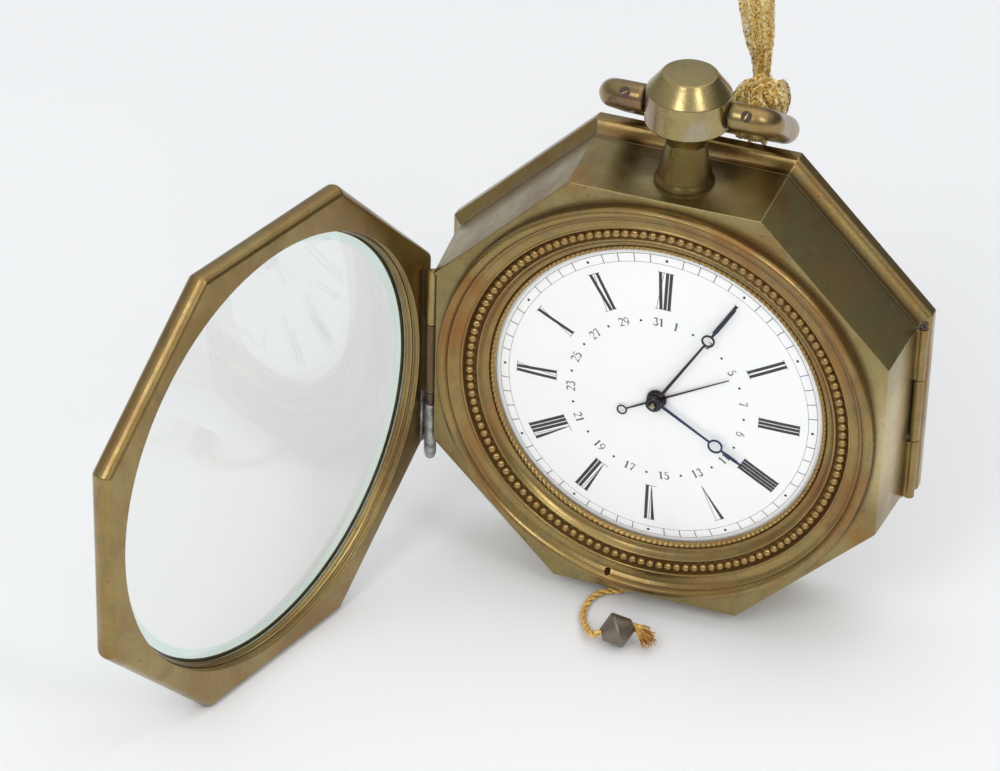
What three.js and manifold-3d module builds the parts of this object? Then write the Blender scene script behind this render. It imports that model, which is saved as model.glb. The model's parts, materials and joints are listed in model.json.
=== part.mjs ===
// An octagonal brass coach clock-watch: enamel dial with calendar hand, hinged glazed front door,
// hinged rear cover, pendant with folding bow, and a pull cord that works a repeating hammer.
// Millimetres, +Z up, the dial faces -Y. Everything is laid out from the front plane of the case,
// and the whole is then moved back so that the origin is the centre of the rear face.
import * as THREE from "three";
import { mergeVertices } from "three/addons/utils/BufferGeometryUtils.js";
import Module from "manifold-3d";

const wasm = await Module();
wasm.setup();

// ---------------------------------------------------------------- driving dimensions
const DEG = Math.PI / 180;
const GAP = 0.3; // clearance between pieces that touch or turn
const CASE_DEPTH = 29.5; // front plane to rear face

const BODY = { front: 60, rear: 61.5, depth: 21.5, wall: 2.6, frontPlate: 3, opening: 57.6 };
const COVER = { apothem: 64, edge: 26.3, plate: 2, wall: 4.4, bevel: 0.5 };
const FLAT_COUNT = 8;
const FLAT_PHASE = Math.PI / FLAT_COUNT;

const DIAL = { radius: 44.4, hole: 2.6, thickness: 1, crown: 2.5, rim: 4.2 };
const BEADS = { radius: 49.9, size: 1.05, y: 0.45 };
const MILLING = { inner: 43.75, outer: 44.7, front: 2.2, back: 3.1 };

const DOOR = {
  open: 106.5, // degrees open at rest
  innerApothem: 62.3,
  bulge: 64.3,
  innerFace: -0.35,
  bulgeAt: -2.9,
  outerFace: -6.6,
  aperture: 58.3,
  lip: 56.8,
  ledge: -6.0,
};
const GLASS = { radius: 57.9, back: -4.5, rim: -5.1, bevelRadius: 54.4, front: -6.9 };
const FRONT_HINGE = { x: -60.6, y: 2, barrel: 1.45, bore: 0.75, pin: 0.6 };
const REAR_HINGE = { x: 63.05, y: 20.9, barrel: 1.35, bore: 0.75, pin: 0.6 };
const FRONT_KNUCKLES = { top: 24, upper: 8.4, lower: -12.3, gap: -16.1, bottom: -33.2 };
const REAR_KNUCKLES = { top: 25.5, upper: 10.4, lower: -8, bottom: -25.5 };

const PENDANT = { x: 1.7, y: 11, base: 7.6, waist: 5.2, waistZ: 71.5, underZ: 77.2 };
const KNOB = { radius: 10.7, bottom: 77.3, band: 86.2, top: 91.2, flat: 6.85 };
const BOW = { z: 81.5, tube: 3.6, halfWidth: 20.3, reach: 25, bar: 1.8, lean: 33.4, corner: 5.2 };
const BOW_SCREW = { offset: 15.6, radius: 1.45 };

const HANDS = { minute: 31, hour: 120.2, date: 60.5 }; // degrees clockwise from twelve
const MOVEMENT = { plate: 45.5, front: 8.2, thickness: 1.4, back: 18.6, topPlate: 41 };
const CORD = { radius: 0.8, x: -4.5, y: 6.9, top: -29.9, floor: -63.1, pulley: 7 };

const BRASS = { color: 0x8f7a45, roughness: 0.42, metalness: 1 };
const GILT = { color: 0xc09a4e, roughness: 0.35, metalness: 1 };
const STEEL = { color: 0x8d9197, roughness: 0.3, metalness: 1 };
const BLUED = { color: 0x1c2230, roughness: 0.3, metalness: 1 };
const SOLDER = { color: 0xa9abab, roughness: 0.5, metalness: 1 };
const ENAMEL = { color: 0xf3f2ee, roughness: 0.15, metalness: 0 };
const CRYSTAL = { color: 0xe8f4f0, roughness: 0.02, metalness: 0, transparent: true, opacity: 0.25 };
const GOLD_THREAD = { color: 0xc8912f, roughness: 0.6, metalness: 0.2 };
const BRONZE = { color: 0x5c5649, roughness: 0.45, metalness: 1 };

// ---------------------------------------------------------------- solids from three.js shapes
// Position-only copy with shared vertices, degenerate triangles dropped, as a solid facing out.
function solid(geometry) {
  const flat = geometry.index ? geometry.toNonIndexed() : geometry.clone();
  flat.deleteAttribute("normal");
  flat.deleteAttribute("uv");
  const merged = mergeVertices(flat, 1e-4);
  const index = merged.index.array;
  const kept = [];
  for (let i = 0; i < index.length; i += 3) {
    const [a, b, c] = [index[i], index[i + 1], index[i + 2]];
    if (a !== b && b !== c && c !== a) kept.push(a, b, c);
  }
  const build = (triangles) =>
    new wasm.Manifold(
      new wasm.Mesh({
        numProp: 3,
        vertProperties: merged.attributes.position.array,
        triVerts: new Uint32Array(triangles),
      }),
    );
  const made = build(kept);
  if (made.volume() > 0) return made;
  for (let i = 0; i < kept.length; i += 3) {
    [kept[i + 1], kept[i + 2]] = [kept[i + 2], kept[i + 1]];
  }
  return build(kept);
}

function geometryOf(made) {
  const mesh = made.getMesh();
  const positions = new Float32Array(mesh.numVert * 3);
  for (let i = 0; i < mesh.numVert; i++) {
    for (let k = 0; k < 3; k++) positions[3 * i + k] = mesh.vertProperties[mesh.numProp * i + k];
  }
  const geometry = new THREE.BufferGeometry();
  geometry.setAttribute("position", new THREE.BufferAttribute(positions, 3));
  geometry.setIndex(new THREE.BufferAttribute(mesh.triVerts, 1));
  geometry.computeVertexNormals();
  return geometry;
}

// Adds one named piece, from a solid, to a group.
function piece(group, name, made, look) {
  const mesh = new THREE.Mesh(geometryOf(made), new THREE.MeshStandardMaterial(look));
  mesh.name = name;
  group.add(mesh);
  return mesh;
}

const points2 = (profile) => profile.map(([r, h]) => new THREE.Vector2(r, h));

// A profile of [radius, y], turned about the Y axis (the axis of the dial).
function turned(profile, segments = 48) {
  return solid(new THREE.LatheGeometry(points2(profile), segments));
}

// The same profile made octagonal: its radii are apothems, with flats at top, bottom and sides.
function octagonal(profile) {
  const corners = profile.map(([a, h]) => [a / Math.cos(FLAT_PHASE), h]);
  return solid(new THREE.LatheGeometry(points2(corners), FLAT_COUNT, FLAT_PHASE));
}

// A profile of [radius, z], turned about a vertical line.
function upright(profile, x, y, segments = 32) {
  const geometry = new THREE.LatheGeometry(points2(profile), segments);
  geometry.rotateX(Math.PI / 2);
  geometry.translate(x, y, 0);
  return solid(geometry);
}

// A cylinder or tube along +Y, between two depths.
function disc(radius, bore, y0, y1, x = 0, z = 0, segments = 32) {
  const profile = bore > 0
    ? [[bore, y0], [radius, y0], [radius, y1], [bore, y1], [bore, y0]]
    : [[0, y0], [radius, y0], [radius, y1], [0, y1]];
  const geometry = new THREE.LatheGeometry(points2(profile), segments);
  geometry.translate(x, 0, z);
  return solid(geometry);
}

// The same along +X.
function sideDisc(radius, x0, x1, y, z, segments = 20) {
  const geometry = new THREE.LatheGeometry(
    points2([[0, x0], [radius, x0], [radius, x1], [0, x1]]),
    segments,
  );
  geometry.rotateZ(-Math.PI / 2);
  geometry.translate(0, y, z);
  return solid(geometry);
}

function box(x0, x1, y0, y1, z0, z1) {
  const geometry = new THREE.BoxGeometry(x1 - x0, y1 - y0, z1 - z0);
  geometry.translate((x0 + x1) / 2, (y0 + y1) / 2, (z0 + z1) / 2);
  return solid(geometry);
}

// A flat outline in the plane of the dial, x across and z up, between two depths.
function plate(shape, y0, y1, curveSegments = 12) {
  const geometry = new THREE.ExtrudeGeometry(shape, {
    depth: y1 - y0,
    bevelEnabled: false,
    curveSegments,
  });
  geometry.rotateX(Math.PI / 2);
  geometry.translate(0, y1, 0);
  return solid(geometry);
}

// A round rod swept along a curve.
function rod(path, radius, steps, sides = 8) {
  const section = new THREE.Shape();
  section.absarc(0, 0, radius, 0, 2 * Math.PI, false);
  return solid(
    new THREE.ExtrudeGeometry(section, {
      steps,
      bevelEnabled: false,
      curveSegments: sides,
      extrudePath: path,
    }),
  );
}

function polygon(corners) {
  return new THREE.Shape(points2(corners));
}

// Outline of a toothed wheel: narrow trapezoid teeth, so that a pair runs with backlash.
function gearShape(teeth, module, phase = 0) {
  const pitch = (module * teeth) / 2;
  const tip = pitch + 0.8 * module;
  const root = pitch - 1.1 * module;
  const corners = [];
  for (let i = 0; i < teeth; i++) {
    for (const [r, part] of [[root, -0.3], [tip, -0.09], [tip, 0.09], [root, 0.3]]) {
      const a = phase + ((i + part) * 2 * Math.PI) / teeth;
      corners.push([r * Math.cos(a), r * Math.sin(a)]);
    }
  }
  return polygon(corners);
}

// A gear about Y at a centre in the plane of the dial; phase is the angle of one tooth's middle.
function gear(teeth, module, y0, y1, centre = [0, 0], phase = 0) {
  return plate(gearShape(teeth, module, phase), y0, y1).translate([centre[0], 0, centre[1]]);
}

// Centre of a wheel that meshes with another: away from it at an angle in the plane of the dial.
const meshed = (from, distance, angle) => [
  from[0] + distance * Math.cos(angle),
  from[1] + distance * Math.sin(angle),
];

// A hand pointing to +Z: a thin blade, a pierced ring, a leaf-shaped end and a boss.
function hand({ length, ring, ringRadius, blade, tip, boss, bore }, y0, y1) {
  const outline = (corners) => plate(polygon(corners), y0, y1);
  const round = (radius, z) => disc(radius, 0, y0, y1, 0, z, 18);
  const drill = (radius, z) => disc(radius, 0, y0 - 1, y1 + 1, 0, z, 18);
  const under = ring - ringRadius + 0.2;
  const over = ring + ringRadius - 0.2;
  const stem = outline([[-0.5, 0], [0.5, 0], [0.3, under], [-0.3, under]]);
  const leaf = outline([[-0.3, over], [0.3, over], [blade, over + 1.4], [tip, length], [-tip, length],
    [-blade, over + 1.4]]);
  return stem
    .add(leaf)
    .add(round(ringRadius, ring))
    .add(round(boss, 0))
    .subtract(drill(ringRadius - 0.42, ring))
    .subtract(drill(bore, 0));
}

const turnedBy = (made, degrees) => made.rotate([0, degrees, 0]);

// ---------------------------------------------------------------- the case
const clock = new THREE.Group();
const caseGroup = new THREE.Group();
clock.add(caseGroup);

const bodyOuter = octagonal([[0, 0], [BODY.front, 0], [BODY.rear, BODY.depth], [0, BODY.depth]]);

function caseBody() {
  const cavity = octagonal([
    [0, BODY.frontPlate],
    [BODY.front - BODY.wall, BODY.frontPlate],
    [BODY.rear - BODY.wall, BODY.depth + 1],
    [0, BODY.depth + 1],
  ]);
  const frontOpening = disc(BODY.opening, 0, -1, BODY.frontPlate + 1, 0, 0, 60);
  const hingeNotch = upright(
    [[0, -33], [FRONT_HINGE.barrel + 0.15, -33], [FRONT_HINGE.barrel + 0.15, 30], [0, 30]],
    FRONT_HINGE.x,
    FRONT_HINGE.y,
    16,
  );
  const cordHole = upright([[0, -63], [2.1, -63], [2.1, -50], [0, -50]], CORD.x, CORD.y, 16);
  return bodyOuter.subtract(cavity).subtract(frontOpening).subtract(hingeNotch).subtract(cordHole);
}

function bezel() {
  return turned(
    [
      [43.7, 3.5], [43.7, 3.15], [44.8, 3.15], [44.8, 2.2], [46.2, 1.6], [47.3, 0.7], [48.5, 0.5],
      [48.5, 1.7], [51.3, 1.7], [51.3, -0.7], [52.6, -0.75], [55.1, -1.8], [55.9, -2.8], [56.8, -3.05],
      [57.7, -2.5], [58, -1.6], [58, -0.3], [57.3, -0.3], [57.3, 5.2], [45, 5.2], [45, 3.5], [43.7, 3.5],
    ],
    48,
  );
}

function dialPlate() {
  const { radius, hole, thickness, crown, rim } = DIAL;
  return turned(
    [
      [hole, crown], [34, crown + 0.3], [41, crown + 0.6], [43.2, rim - 0.6],
      [radius, rim], [radius, rim + 0.6], [34, crown + 0.3 + thickness], [hole, crown + thickness],
      [hole, crown],
    ],
    48,
  );
}

piece(caseGroup, "case_body", caseBody(), BRASS);
piece(caseGroup, "front_bezel", bezel(), BRASS);
piece(
  caseGroup,
  "bead_ring",
  turned(
    Array.from({ length: 7 }, (_, i) => {
      const a = (i * Math.PI) / 3;
      return [BEADS.radius + BEADS.size * Math.cos(a), BEADS.y + BEADS.size * Math.sin(a)];
    }),
    48,
  ),
  GILT,
);
piece(caseGroup, "milled_ring", disc(MILLING.outer, MILLING.inner, MILLING.front, MILLING.back, 0, 0, 48), GILT);
piece(caseGroup, "dial", dialPlate(), ENAMEL);

function pendantStem() {
  const { x, y, base, waist, waistZ, underZ } = PENDANT;
  return upright(
    [[0, 58], [base, 58], [base, 61.6], [base - 0.5, 62.4], [waist, waistZ], [6.1, underZ - 0.6],
      [6.1, underZ], [0, underZ]],
    x,
    y,
    32,
  ).subtract(octagonal([[0, 0], [BODY.front + 0.1, 0], [BODY.rear + 0.1, BODY.depth], [0, BODY.depth]]));
}

function pendantKnob() {
  const knob = upright(
    [[0, KNOB.bottom], [KNOB.radius - 0.5, KNOB.bottom], [KNOB.radius, KNOB.bottom + 0.5],
      [KNOB.radius, KNOB.band], [KNOB.flat, KNOB.top - 0.15], [KNOB.flat - 0.4, KNOB.top], [0, KNOB.top]],
    PENDANT.x,
    PENDANT.y,
    40,
  );
  return knob.subtract(sideDisc(BOW.bar + 0.1, PENDANT.x - 20, PENDANT.x + 20, PENDANT.y, BOW.z, 24));
}

piece(caseGroup, "pendant_stem", pendantStem(), BRASS);
piece(caseGroup, "pendant_knob", pendantKnob(), BRASS);

// ---------------------------------------------------------------- hinges
function knuckle(hinge, z0, z1, roundedTop, roundedBottom) {
  const { barrel, bore } = hinge;
  const soft = 0.6;
  const outer = [];
  if (roundedBottom) outer.push([barrel - soft, z0], [barrel, z0 + soft]);
  else outer.push([barrel, z0]);
  if (roundedTop) outer.push([barrel, z1 - soft], [barrel - soft, z1]);
  else outer.push([barrel, z1]);
  return upright([[bore, z0], ...outer, [bore, z1], [bore, z0]], hinge.x, hinge.y, 16);
}

function hingePin(hinge, z0, z1) {
  return upright([[0, z0], [hinge.pin, z0], [hinge.pin, z1], [0, z1]], hinge.x, hinge.y, 12);
}

const fk = FRONT_KNUCKLES;
const rk = REAR_KNUCKLES;
piece(caseGroup, "front_hinge_case_knuckle",
  knuckle(FRONT_HINGE, fk.lower + 0.15, fk.upper - 0.15, false, false), BRASS);
piece(caseGroup, "front_hinge_pin", hingePin(FRONT_HINGE, fk.bottom + 1.2, fk.top - 1), STEEL);
piece(caseGroup, "rear_hinge_upper_knuckle",
  knuckle(REAR_HINGE, rk.upper + 0.15, rk.top, true, false), BRASS);
piece(caseGroup, "rear_hinge_lower_knuckle",
  knuckle(REAR_HINGE, rk.bottom, rk.lower - 0.15, false, true), BRASS);
piece(caseGroup, "rear_hinge_pin", hingePin(REAR_HINGE, rk.bottom + 0.5, rk.top + 0.8), STEEL);

// A group whose origin is a hinge line, holding pieces laid out in the case's own coordinates.
function hinged(x, y, z = 0) {
  const pivot = new THREE.Group();
  pivot.position.set(x, y, z);
  const inside = new THREE.Group();
  inside.position.set(-x, -y, -z);
  pivot.add(inside);
  clock.add(pivot);
  return { pivot, inside };
}

// ---------------------------------------------------------------- front door, modelled closed
const door = hinged(FRONT_HINGE.x, FRONT_HINGE.y);
door.pivot.rotation.z = -DOOR.open * DEG;

function doorFrame() {
  const { innerApothem, bulge, innerFace, bulgeAt, outerFace, aperture, lip, ledge } = DOOR;
  const outer = octagonal([
    [0, outerFace], [innerApothem - 1, outerFace], [bulge - 1, outerFace + 0.9],
    [bulge - 0.25, bulgeAt - 1.6], [bulge, bulgeAt], [bulge - 0.5, bulgeAt + 1.5],
    [innerApothem, innerFace], [0, innerFace],
  ]);
  const opening = turned(
    [[0, outerFace - 1], [lip, outerFace - 1], [lip, ledge], [aperture, ledge], [aperture, innerFace + 1],
      [0, innerFace + 1]],
    60,
  );
  return outer.subtract(opening);
}

function doorKnuckle(z0, z1, roundedTop, roundedBottom) {
  const lug = box(FRONT_HINGE.x - 1.4, FRONT_HINGE.x - 0.2, DOOR.innerFace + 0.1, FRONT_HINGE.y - 0.9,
    z0 + 0.7, z1 - 0.7);
  return knuckle(FRONT_HINGE, z0, z1, roundedTop, roundedBottom).add(lug);
}

piece(door.inside, "door_frame", doorFrame(), BRASS);
piece(
  door.inside,
  "door_glass",
  turned(
    [[0, GLASS.front], [GLASS.bevelRadius, GLASS.front], [GLASS.radius, GLASS.rim],
      [GLASS.radius, GLASS.back], [0, GLASS.back]],
    48,
  ),
  CRYSTAL,
);
piece(door.inside, "glass_ring", disc(58, 57.4, GLASS.back + 0.3, -2.4, 0, 0, 48), BRASS);
piece(door.inside, "door_upper_knuckle", doorKnuckle(fk.upper + 0.15, fk.top, true, false), BRASS);
piece(door.inside, "door_lower_knuckle", doorKnuckle(fk.bottom, fk.gap, false, true), SOLDER);

// ---------------------------------------------------------------- rear cover
const cover = hinged(REAR_HINGE.x, REAR_HINGE.y);

function rearCover() {
  const { apothem, edge, plate: thickness, wall, bevel } = COVER;
  const start = BODY.depth + GAP;
  const outer = octagonal([
    [0, start], [BODY.rear, start], [BODY.rear + 0.7, start + 1.7], [apothem - 0.5, edge - 0.9],
    [apothem, edge], [apothem, CASE_DEPTH - bevel], [apothem - bevel, CASE_DEPTH], [0, CASE_DEPTH],
  ]);
  const hollow = octagonal([
    [0, start - 1], [apothem - wall, start - 1], [apothem - wall, CASE_DEPTH - thickness],
    [0, CASE_DEPTH - thickness],
  ]);
  return outer.subtract(hollow);
}

piece(cover.inside, "rear_cover", rearCover(), BRASS);
piece(cover.inside, "rear_cover_knuckle",
  knuckle(REAR_HINGE, rk.lower + 0.15, rk.upper - 0.15, false, false), BRASS);

// ---------------------------------------------------------------- bow, screws and ribbon
const bow = hinged(PENDANT.x, PENDANT.y, BOW.z);
bow.pivot.rotation.x = -BOW.lean * DEG;
const stubStart = KNOB.radius + 0.35;

// The bow lies in the plane through its pivot that points to +Y before it is leaned back.
function bowPath() {
  const { halfWidth, reach, corner } = BOW;
  const x0 = PENDANT.x;
  const at = (x, y) => new THREE.Vector3(x0 + x, PENDANT.y + y, BOW.z);
  const near = 4.2;
  const path = new THREE.CurvePath();
  path.add(new THREE.LineCurve3(at(-stubStart, 0), at(-halfWidth + near, 0)));
  path.add(new THREE.QuadraticBezierCurve3(at(-halfWidth + near, 0), at(-halfWidth, 0), at(-halfWidth, near)));
  path.add(new THREE.LineCurve3(at(-halfWidth, near), at(-halfWidth, reach - corner)));
  path.add(new THREE.QuadraticBezierCurve3(at(-halfWidth, reach - corner), at(-halfWidth, reach),
    at(-halfWidth + corner, reach)));
  path.add(new THREE.LineCurve3(at(-halfWidth + corner, reach), at(halfWidth - corner, reach)));
  path.add(new THREE.QuadraticBezierCurve3(at(halfWidth - corner, reach), at(halfWidth, reach),
    at(halfWidth, reach - corner)));
  path.add(new THREE.LineCurve3(at(halfWidth, reach - corner), at(halfWidth, near)));
  path.add(new THREE.QuadraticBezierCurve3(at(halfWidth, near), at(halfWidth, 0), at(halfWidth - near, 0)));
  path.add(new THREE.LineCurve3(at(halfWidth - near, 0), at(stubStart, 0)));
  return path;
}

// The screws sit square to the stubs, turned up and forward in the leaned position.
const SCREW_TILT = 84;
function acrossStub(radius, from, to, side) {
  const geometry = new THREE.CylinderGeometry(radius, radius, to - from, 16);
  geometry.translate(0, (from + to) / 2, 0);
  geometry.rotateX(Math.PI / 2 + SCREW_TILT * DEG);
  geometry.translate(PENDANT.x + side * BOW_SCREW.offset, PENDANT.y, BOW.z);
  return solid(geometry);
}

function bowLoop() {
  let made = rod(bowPath(), BOW.tube, 40, 5);
  made = made.subtract(sideDisc(BOW.bar + 0.12, PENDANT.x - 18, PENDANT.x + 18, PENDANT.y, BOW.z, 16));
  for (const side of [-1, 1]) made = made.subtract(acrossStub(BOW_SCREW.radius + 0.12, 0, 6, side));
  return made;
}

piece(bow.inside, "bow", bowLoop(), BRASS);
piece(bow.inside, "bow_pivot_bar",
  sideDisc(BOW.bar, PENDANT.x - 17.6, PENDANT.x + 17.6, PENDANT.y, BOW.z, 16), STEEL);
piece(bow.inside, "bow_screw_left", acrossStub(BOW_SCREW.radius, BOW.bar + 0.25, BOW.tube + 0.1, -1), BLUED);
piece(bow.inside, "bow_screw_right", acrossStub(BOW_SCREW.radius, BOW.bar + 0.25, BOW.tube + 0.1, 1), BLUED);

// The ribbon is knotted round the far bar and stands up from it.
const bowEnd = {
  y: PENDANT.y + BOW.reach * Math.cos(BOW.lean * DEG),
  z: BOW.z - BOW.reach * Math.sin(BOW.lean * DEG),
};
const RIBBON = { x: 13, knot: [6, 6.2, 9.6], bandX: 11, halfWidth: 4, thickness: 1.2 };

// The band's centreline beyond the knot, as [y, z] from the far bar: up, over and down again.
const BAND_LINE = [[1, 12], [1.4, 24], [0.8, 38], [2.4, 47], [6.2, 51.2], [11, 50], [13.6, 43], [14.2, 32],
  [13.4, 21]];

function ribbonSolid() {
  const { y, z } = bowEnd;
  const knot = new THREE.SphereGeometry(1, 14, 10);
  knot.scale(...RIBBON.knot);
  knot.translate(RIBBON.x, y + 0.8, z + 6.4);
  const line = new THREE.CatmullRomCurve3(BAND_LINE.map(([dy, dz]) => new THREE.Vector3(0, dy, dz)));
  const steps = 14;
  const sides = [[], []];
  for (let i = 0; i <= steps; i++) {
    const at = line.getPoint(i / steps);
    const along = line.getTangent(i / steps);
    for (const side of [0, 1]) {
      const out = ((side ? -1 : 1) * RIBBON.thickness) / 2;
      sides[side].push([y + at.y - along.z * out, z + at.z + along.y * out]);
    }
  }
  const band = new THREE.ExtrudeGeometry(polygon([...sides[0], ...sides[1].reverse()]), {
    depth: 2 * RIBBON.halfWidth,
    bevelEnabled: false,
  });
  band.rotateY(Math.PI / 2);
  band.rotateX(Math.PI / 2);
  band.translate(RIBBON.bandX - RIBBON.halfWidth, 0, 0);
  return solid(knot)
    .add(solid(band))
    .subtract(sideDisc(BOW.tube + GAP, RIBBON.x - 12, RIBBON.x + 12, y, z, 16))
    .subtract(box(-10, 40, y - 20, y + 20, z - 20, z - 3.2));
}
const ribbonGroup = new THREE.Group();
clock.add(ribbonGroup);
piece(ribbonGroup, "ribbon", ribbonSolid(), GOLD_THREAD);

// ---------------------------------------------------------------- movement plates
const plates = MOVEMENT;
const frontBack = plates.front + plates.thickness;
const topBack = plates.back + plates.thickness;

// Layout of the train in the plane of the dial: centre, third, fourth and escape wheels.
const TRAIN = {
  centre: { teeth: 48, module: 0.48 },
  third: { teeth: 45, module: 0.42, pinion: 6 },
  fourth: { teeth: 42, module: 0.4, pinion: 6 },
  escape: { teeth: 15, pinion: 6 },
  barrel: { teeth: 54, module: 0.46, pinion: 9 },
};
const MESH_SLACK = 0.12;
const distanceOf = (module, a, b) => (module * (a + b)) / 2 + MESH_SLACK;
const centre = [0, 0];
const barrelAngle = 215 * DEG;
const thirdAngle = 40 * DEG;
const fourthAngle = 115 * DEG;
const escapeAngle = 175 * DEG;
const { centre: cw, third: tw, fourth: fw, escape: ew, barrel: bw } = TRAIN;
const barrelAt = meshed(centre, distanceOf(bw.module, bw.teeth, bw.pinion), barrelAngle);
const thirdAt = meshed(centre, distanceOf(cw.module, cw.teeth, tw.pinion), thirdAngle);
const fourthAt = meshed(thirdAt, distanceOf(tw.module, tw.teeth, fw.pinion), fourthAngle);
const escapeAt = meshed(fourthAt, distanceOf(fw.module, fw.teeth, ew.pinion), escapeAngle);
const balanceAt = meshed(escapeAt, 6.5, 206 * DEG);
const motionAngle = 70 * DEG;
const minuteWheelAt = meshed(centre, distanceOf(0.375, 8, 24), motionAngle);
const pulleyAt = [CORD.x + CORD.pulley + 0.1, -45];
const hammerAt = [28, -22];

// Phase that puts a gap of the driven gear where the driver has a tooth.
const gapPhase = (angle, teeth) => angle + Math.PI + Math.PI / teeth;

const arborHoles = [barrelAt, thirdAt, fourthAt, escapeAt, balanceAt, hammerAt];

function pillarPlate() {
  let made = disc(plates.plate, 1.7, plates.front, frontBack, 0, 0, 40);
  for (const [x, z] of arborHoles) made = made.subtract(disc(1, 0, plates.front - 1, frontBack + 1, x, z, 10));
  return made;
}

function topPlate() {
  let made = disc(plates.topPlate, 1.2, plates.back, topBack, 0, 0, 40);
  for (const [x, z] of arborHoles) made = made.subtract(disc(1.3, 0, plates.back - 1, topBack + 1, x, z, 10));
  return made;
}

piece(caseGroup, "pillar_plate", pillarPlate(), GILT);
piece(caseGroup, "top_plate", topPlate(), GILT);
[50, 130, 235, 310].forEach((angle, i) => {
  const [x, z] = meshed(centre, 37, angle * DEG);
  const y0 = frontBack + 0.05;
  const y1 = plates.back - 0.05;
  const profile = [[0, y0], [2.4, y0], [2.4, y0 + 1], [1.5, y0 + 2], [1.5, y1 - 2], [2.4, y1 - 1],
    [2.4, y1], [0, y1]];
  const geometry = new THREE.LatheGeometry(points2(profile), 14);
  geometry.translate(x, 0, z);
  piece(caseGroup, "pillar_" + (i + 1), solid(geometry), GILT);
});

// ---------------------------------------------------------------- centre arbor, hands and motion work
const minuteGroup = new THREE.Group();
const hourGroup = new THREE.Group();
const dateGroup = new THREE.Group();
const minuteWheelGroup = new THREE.Group();
clock.add(minuteGroup, hourGroup, dateGroup, minuteWheelGroup);

const thin = 0.35;
const minuteY = 0.35;
const hourY = 1.05;
const dateY = 1.8;

// Centre arbor: square at the dial end, the barrel's nine-leaf pinion between the plates.
function centreArbor() {
  const arbor = disc(0.85, 0, -0.35, topBack + 0.6, 0, 0, 14);
  const square = box(-0.62, 0.62, -1.5, -0.3, -0.62, 0.62);
  const pinion = gear(TRAIN.barrel.pinion, TRAIN.barrel.module, 10.4, 12, centre, barrelAngle);
  return turnedBy(square, HANDS.minute).add(arbor).add(pinion);
}

piece(minuteGroup, "centre_arbor", centreArbor(), GILT);
piece(minuteGroup, "hand_collet",
  turned([[0.95, -0.35], [1.9, -0.35], [2.2, -0.1], [2.2, 0.1], [1.9, 0.25], [0.95, 0.25], [0.95, -0.35]], 24),
  BLUED);
const minuteHand = hand(
  { length: 38.4, ring: 25.6, ringRadius: 1.65, blade: 0.75, tip: 0.3, boss: 2.1, bore: 1.3 },
  minuteY,
  minuteY + thin,
);
piece(minuteGroup, "minute_hand", turnedBy(minuteHand, HANDS.minute), BLUED);
piece(minuteGroup, "cannon_pinion",
  disc(1.22, 0.93, 0.4, 8, 0, 0, 16).add(
    gear(8, 0.375, 6.9, 7.8, centre, motionAngle).subtract(disc(0.93, 0, 6, 9, 0, 0, 16))),
  STEEL);
piece(minuteGroup, "centre_wheel",
  gear(TRAIN.centre.teeth, TRAIN.centre.module, 16.6, 17.4, centre, thirdAngle)
    .subtract(disc(0.93, 0, 16, 18, 0, 0, 14)),
  GILT);

const hourHand = hand(
  { length: 27.6, ring: 19, ringRadius: 1.85, blade: 0.7, tip: 0.16, boss: 2.2, bore: 1.75 },
  hourY,
  hourY + thin,
);
piece(hourGroup, "hour_hand", turnedBy(hourHand, HANDS.hour), BLUED);
piece(hourGroup, "hour_wheel",
  disc(1.68, 1.32, 0.95, 6.6, 0, 0, 16).add(
    gear(24, 0.4, 5.9, 6.6, centre, motionAngle).subtract(disc(1.5, 0, 5, 7, 0, 0, 16))),
  GILT);

function calendarHand() {
  const y0 = dateY;
  const y1 = dateY + 0.3;
  const blade = plate(polygon([[-0.28, 0], [0.28, 0], [0.1, 21.6], [-0.1, 21.6]]), y0, y1);
  const tail = plate(polygon([[-0.2, -9], [0.2, -9], [0.3, 0], [-0.3, 0]]), y0, y1);
  const ring = disc(1.35, 0.95, y0, y1, 0, -10.2, 16);
  const boss = disc(2.35, 0, y0, y1, 0, 0, 18);
  return blade.add(tail).add(ring).add(boss).subtract(disc(2.2, 0, y0 - 1, y1 + 1, 0, 0, 18));
}
piece(dateGroup, "date_hand", turnedBy(calendarHand(), HANDS.date), BLUED);
piece(dateGroup, "date_wheel",
  disc(2.14, 1.8, 1.7, 5.4, 0, 0, 16).add(
    gear(31, 0.46, 4.8, 5.4).subtract(disc(1.9, 0, 4, 6, 0, 0, 16))),
  GILT);

// Minute wheel with its pinion, turning on a post of its own between dial and pillar plate.
piece(minuteWheelGroup, "minute_wheel",
  gear(24, 0.375, 7.1, 7.6, minuteWheelAt, gapPhase(motionAngle, 24))
    .add(gear(6, 0.4, 5.9, 7.2, minuteWheelAt, gapPhase(motionAngle, 6))),
  GILT);

// ---------------------------------------------------------------- train, escapement and winding
function wheelOnArbor(at, wheel, pinion, arbor) {
  const made = wheel.add(disc(0.6, 0, arbor[0], arbor[1], at[0], at[1], 10));
  return pinion ? made.add(pinion) : made;
}

const trainGroups = {};
for (const name of ["barrel", "winding", "third", "fourth", "escape", "balance", "hammer"]) {
  trainGroups[name] = new THREE.Group();
  clock.add(trainGroups[name]);
}

function mainspringBarrel() {
  const [x, z] = barrelAt;
  const drum = disc(11.4, 0, 11.8, 16.2, x, z, 28);
  const rim = gear(bw.teeth, bw.module, 10.5, 11.9, barrelAt, gapPhase(barrelAngle, bw.teeth));
  return drum.add(rim).subtract(disc(2.2, 0, 10, 17, x, z, 14));
}
piece(trainGroups.barrel, "mainspring_barrel", mainspringBarrel(), GILT);

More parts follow.
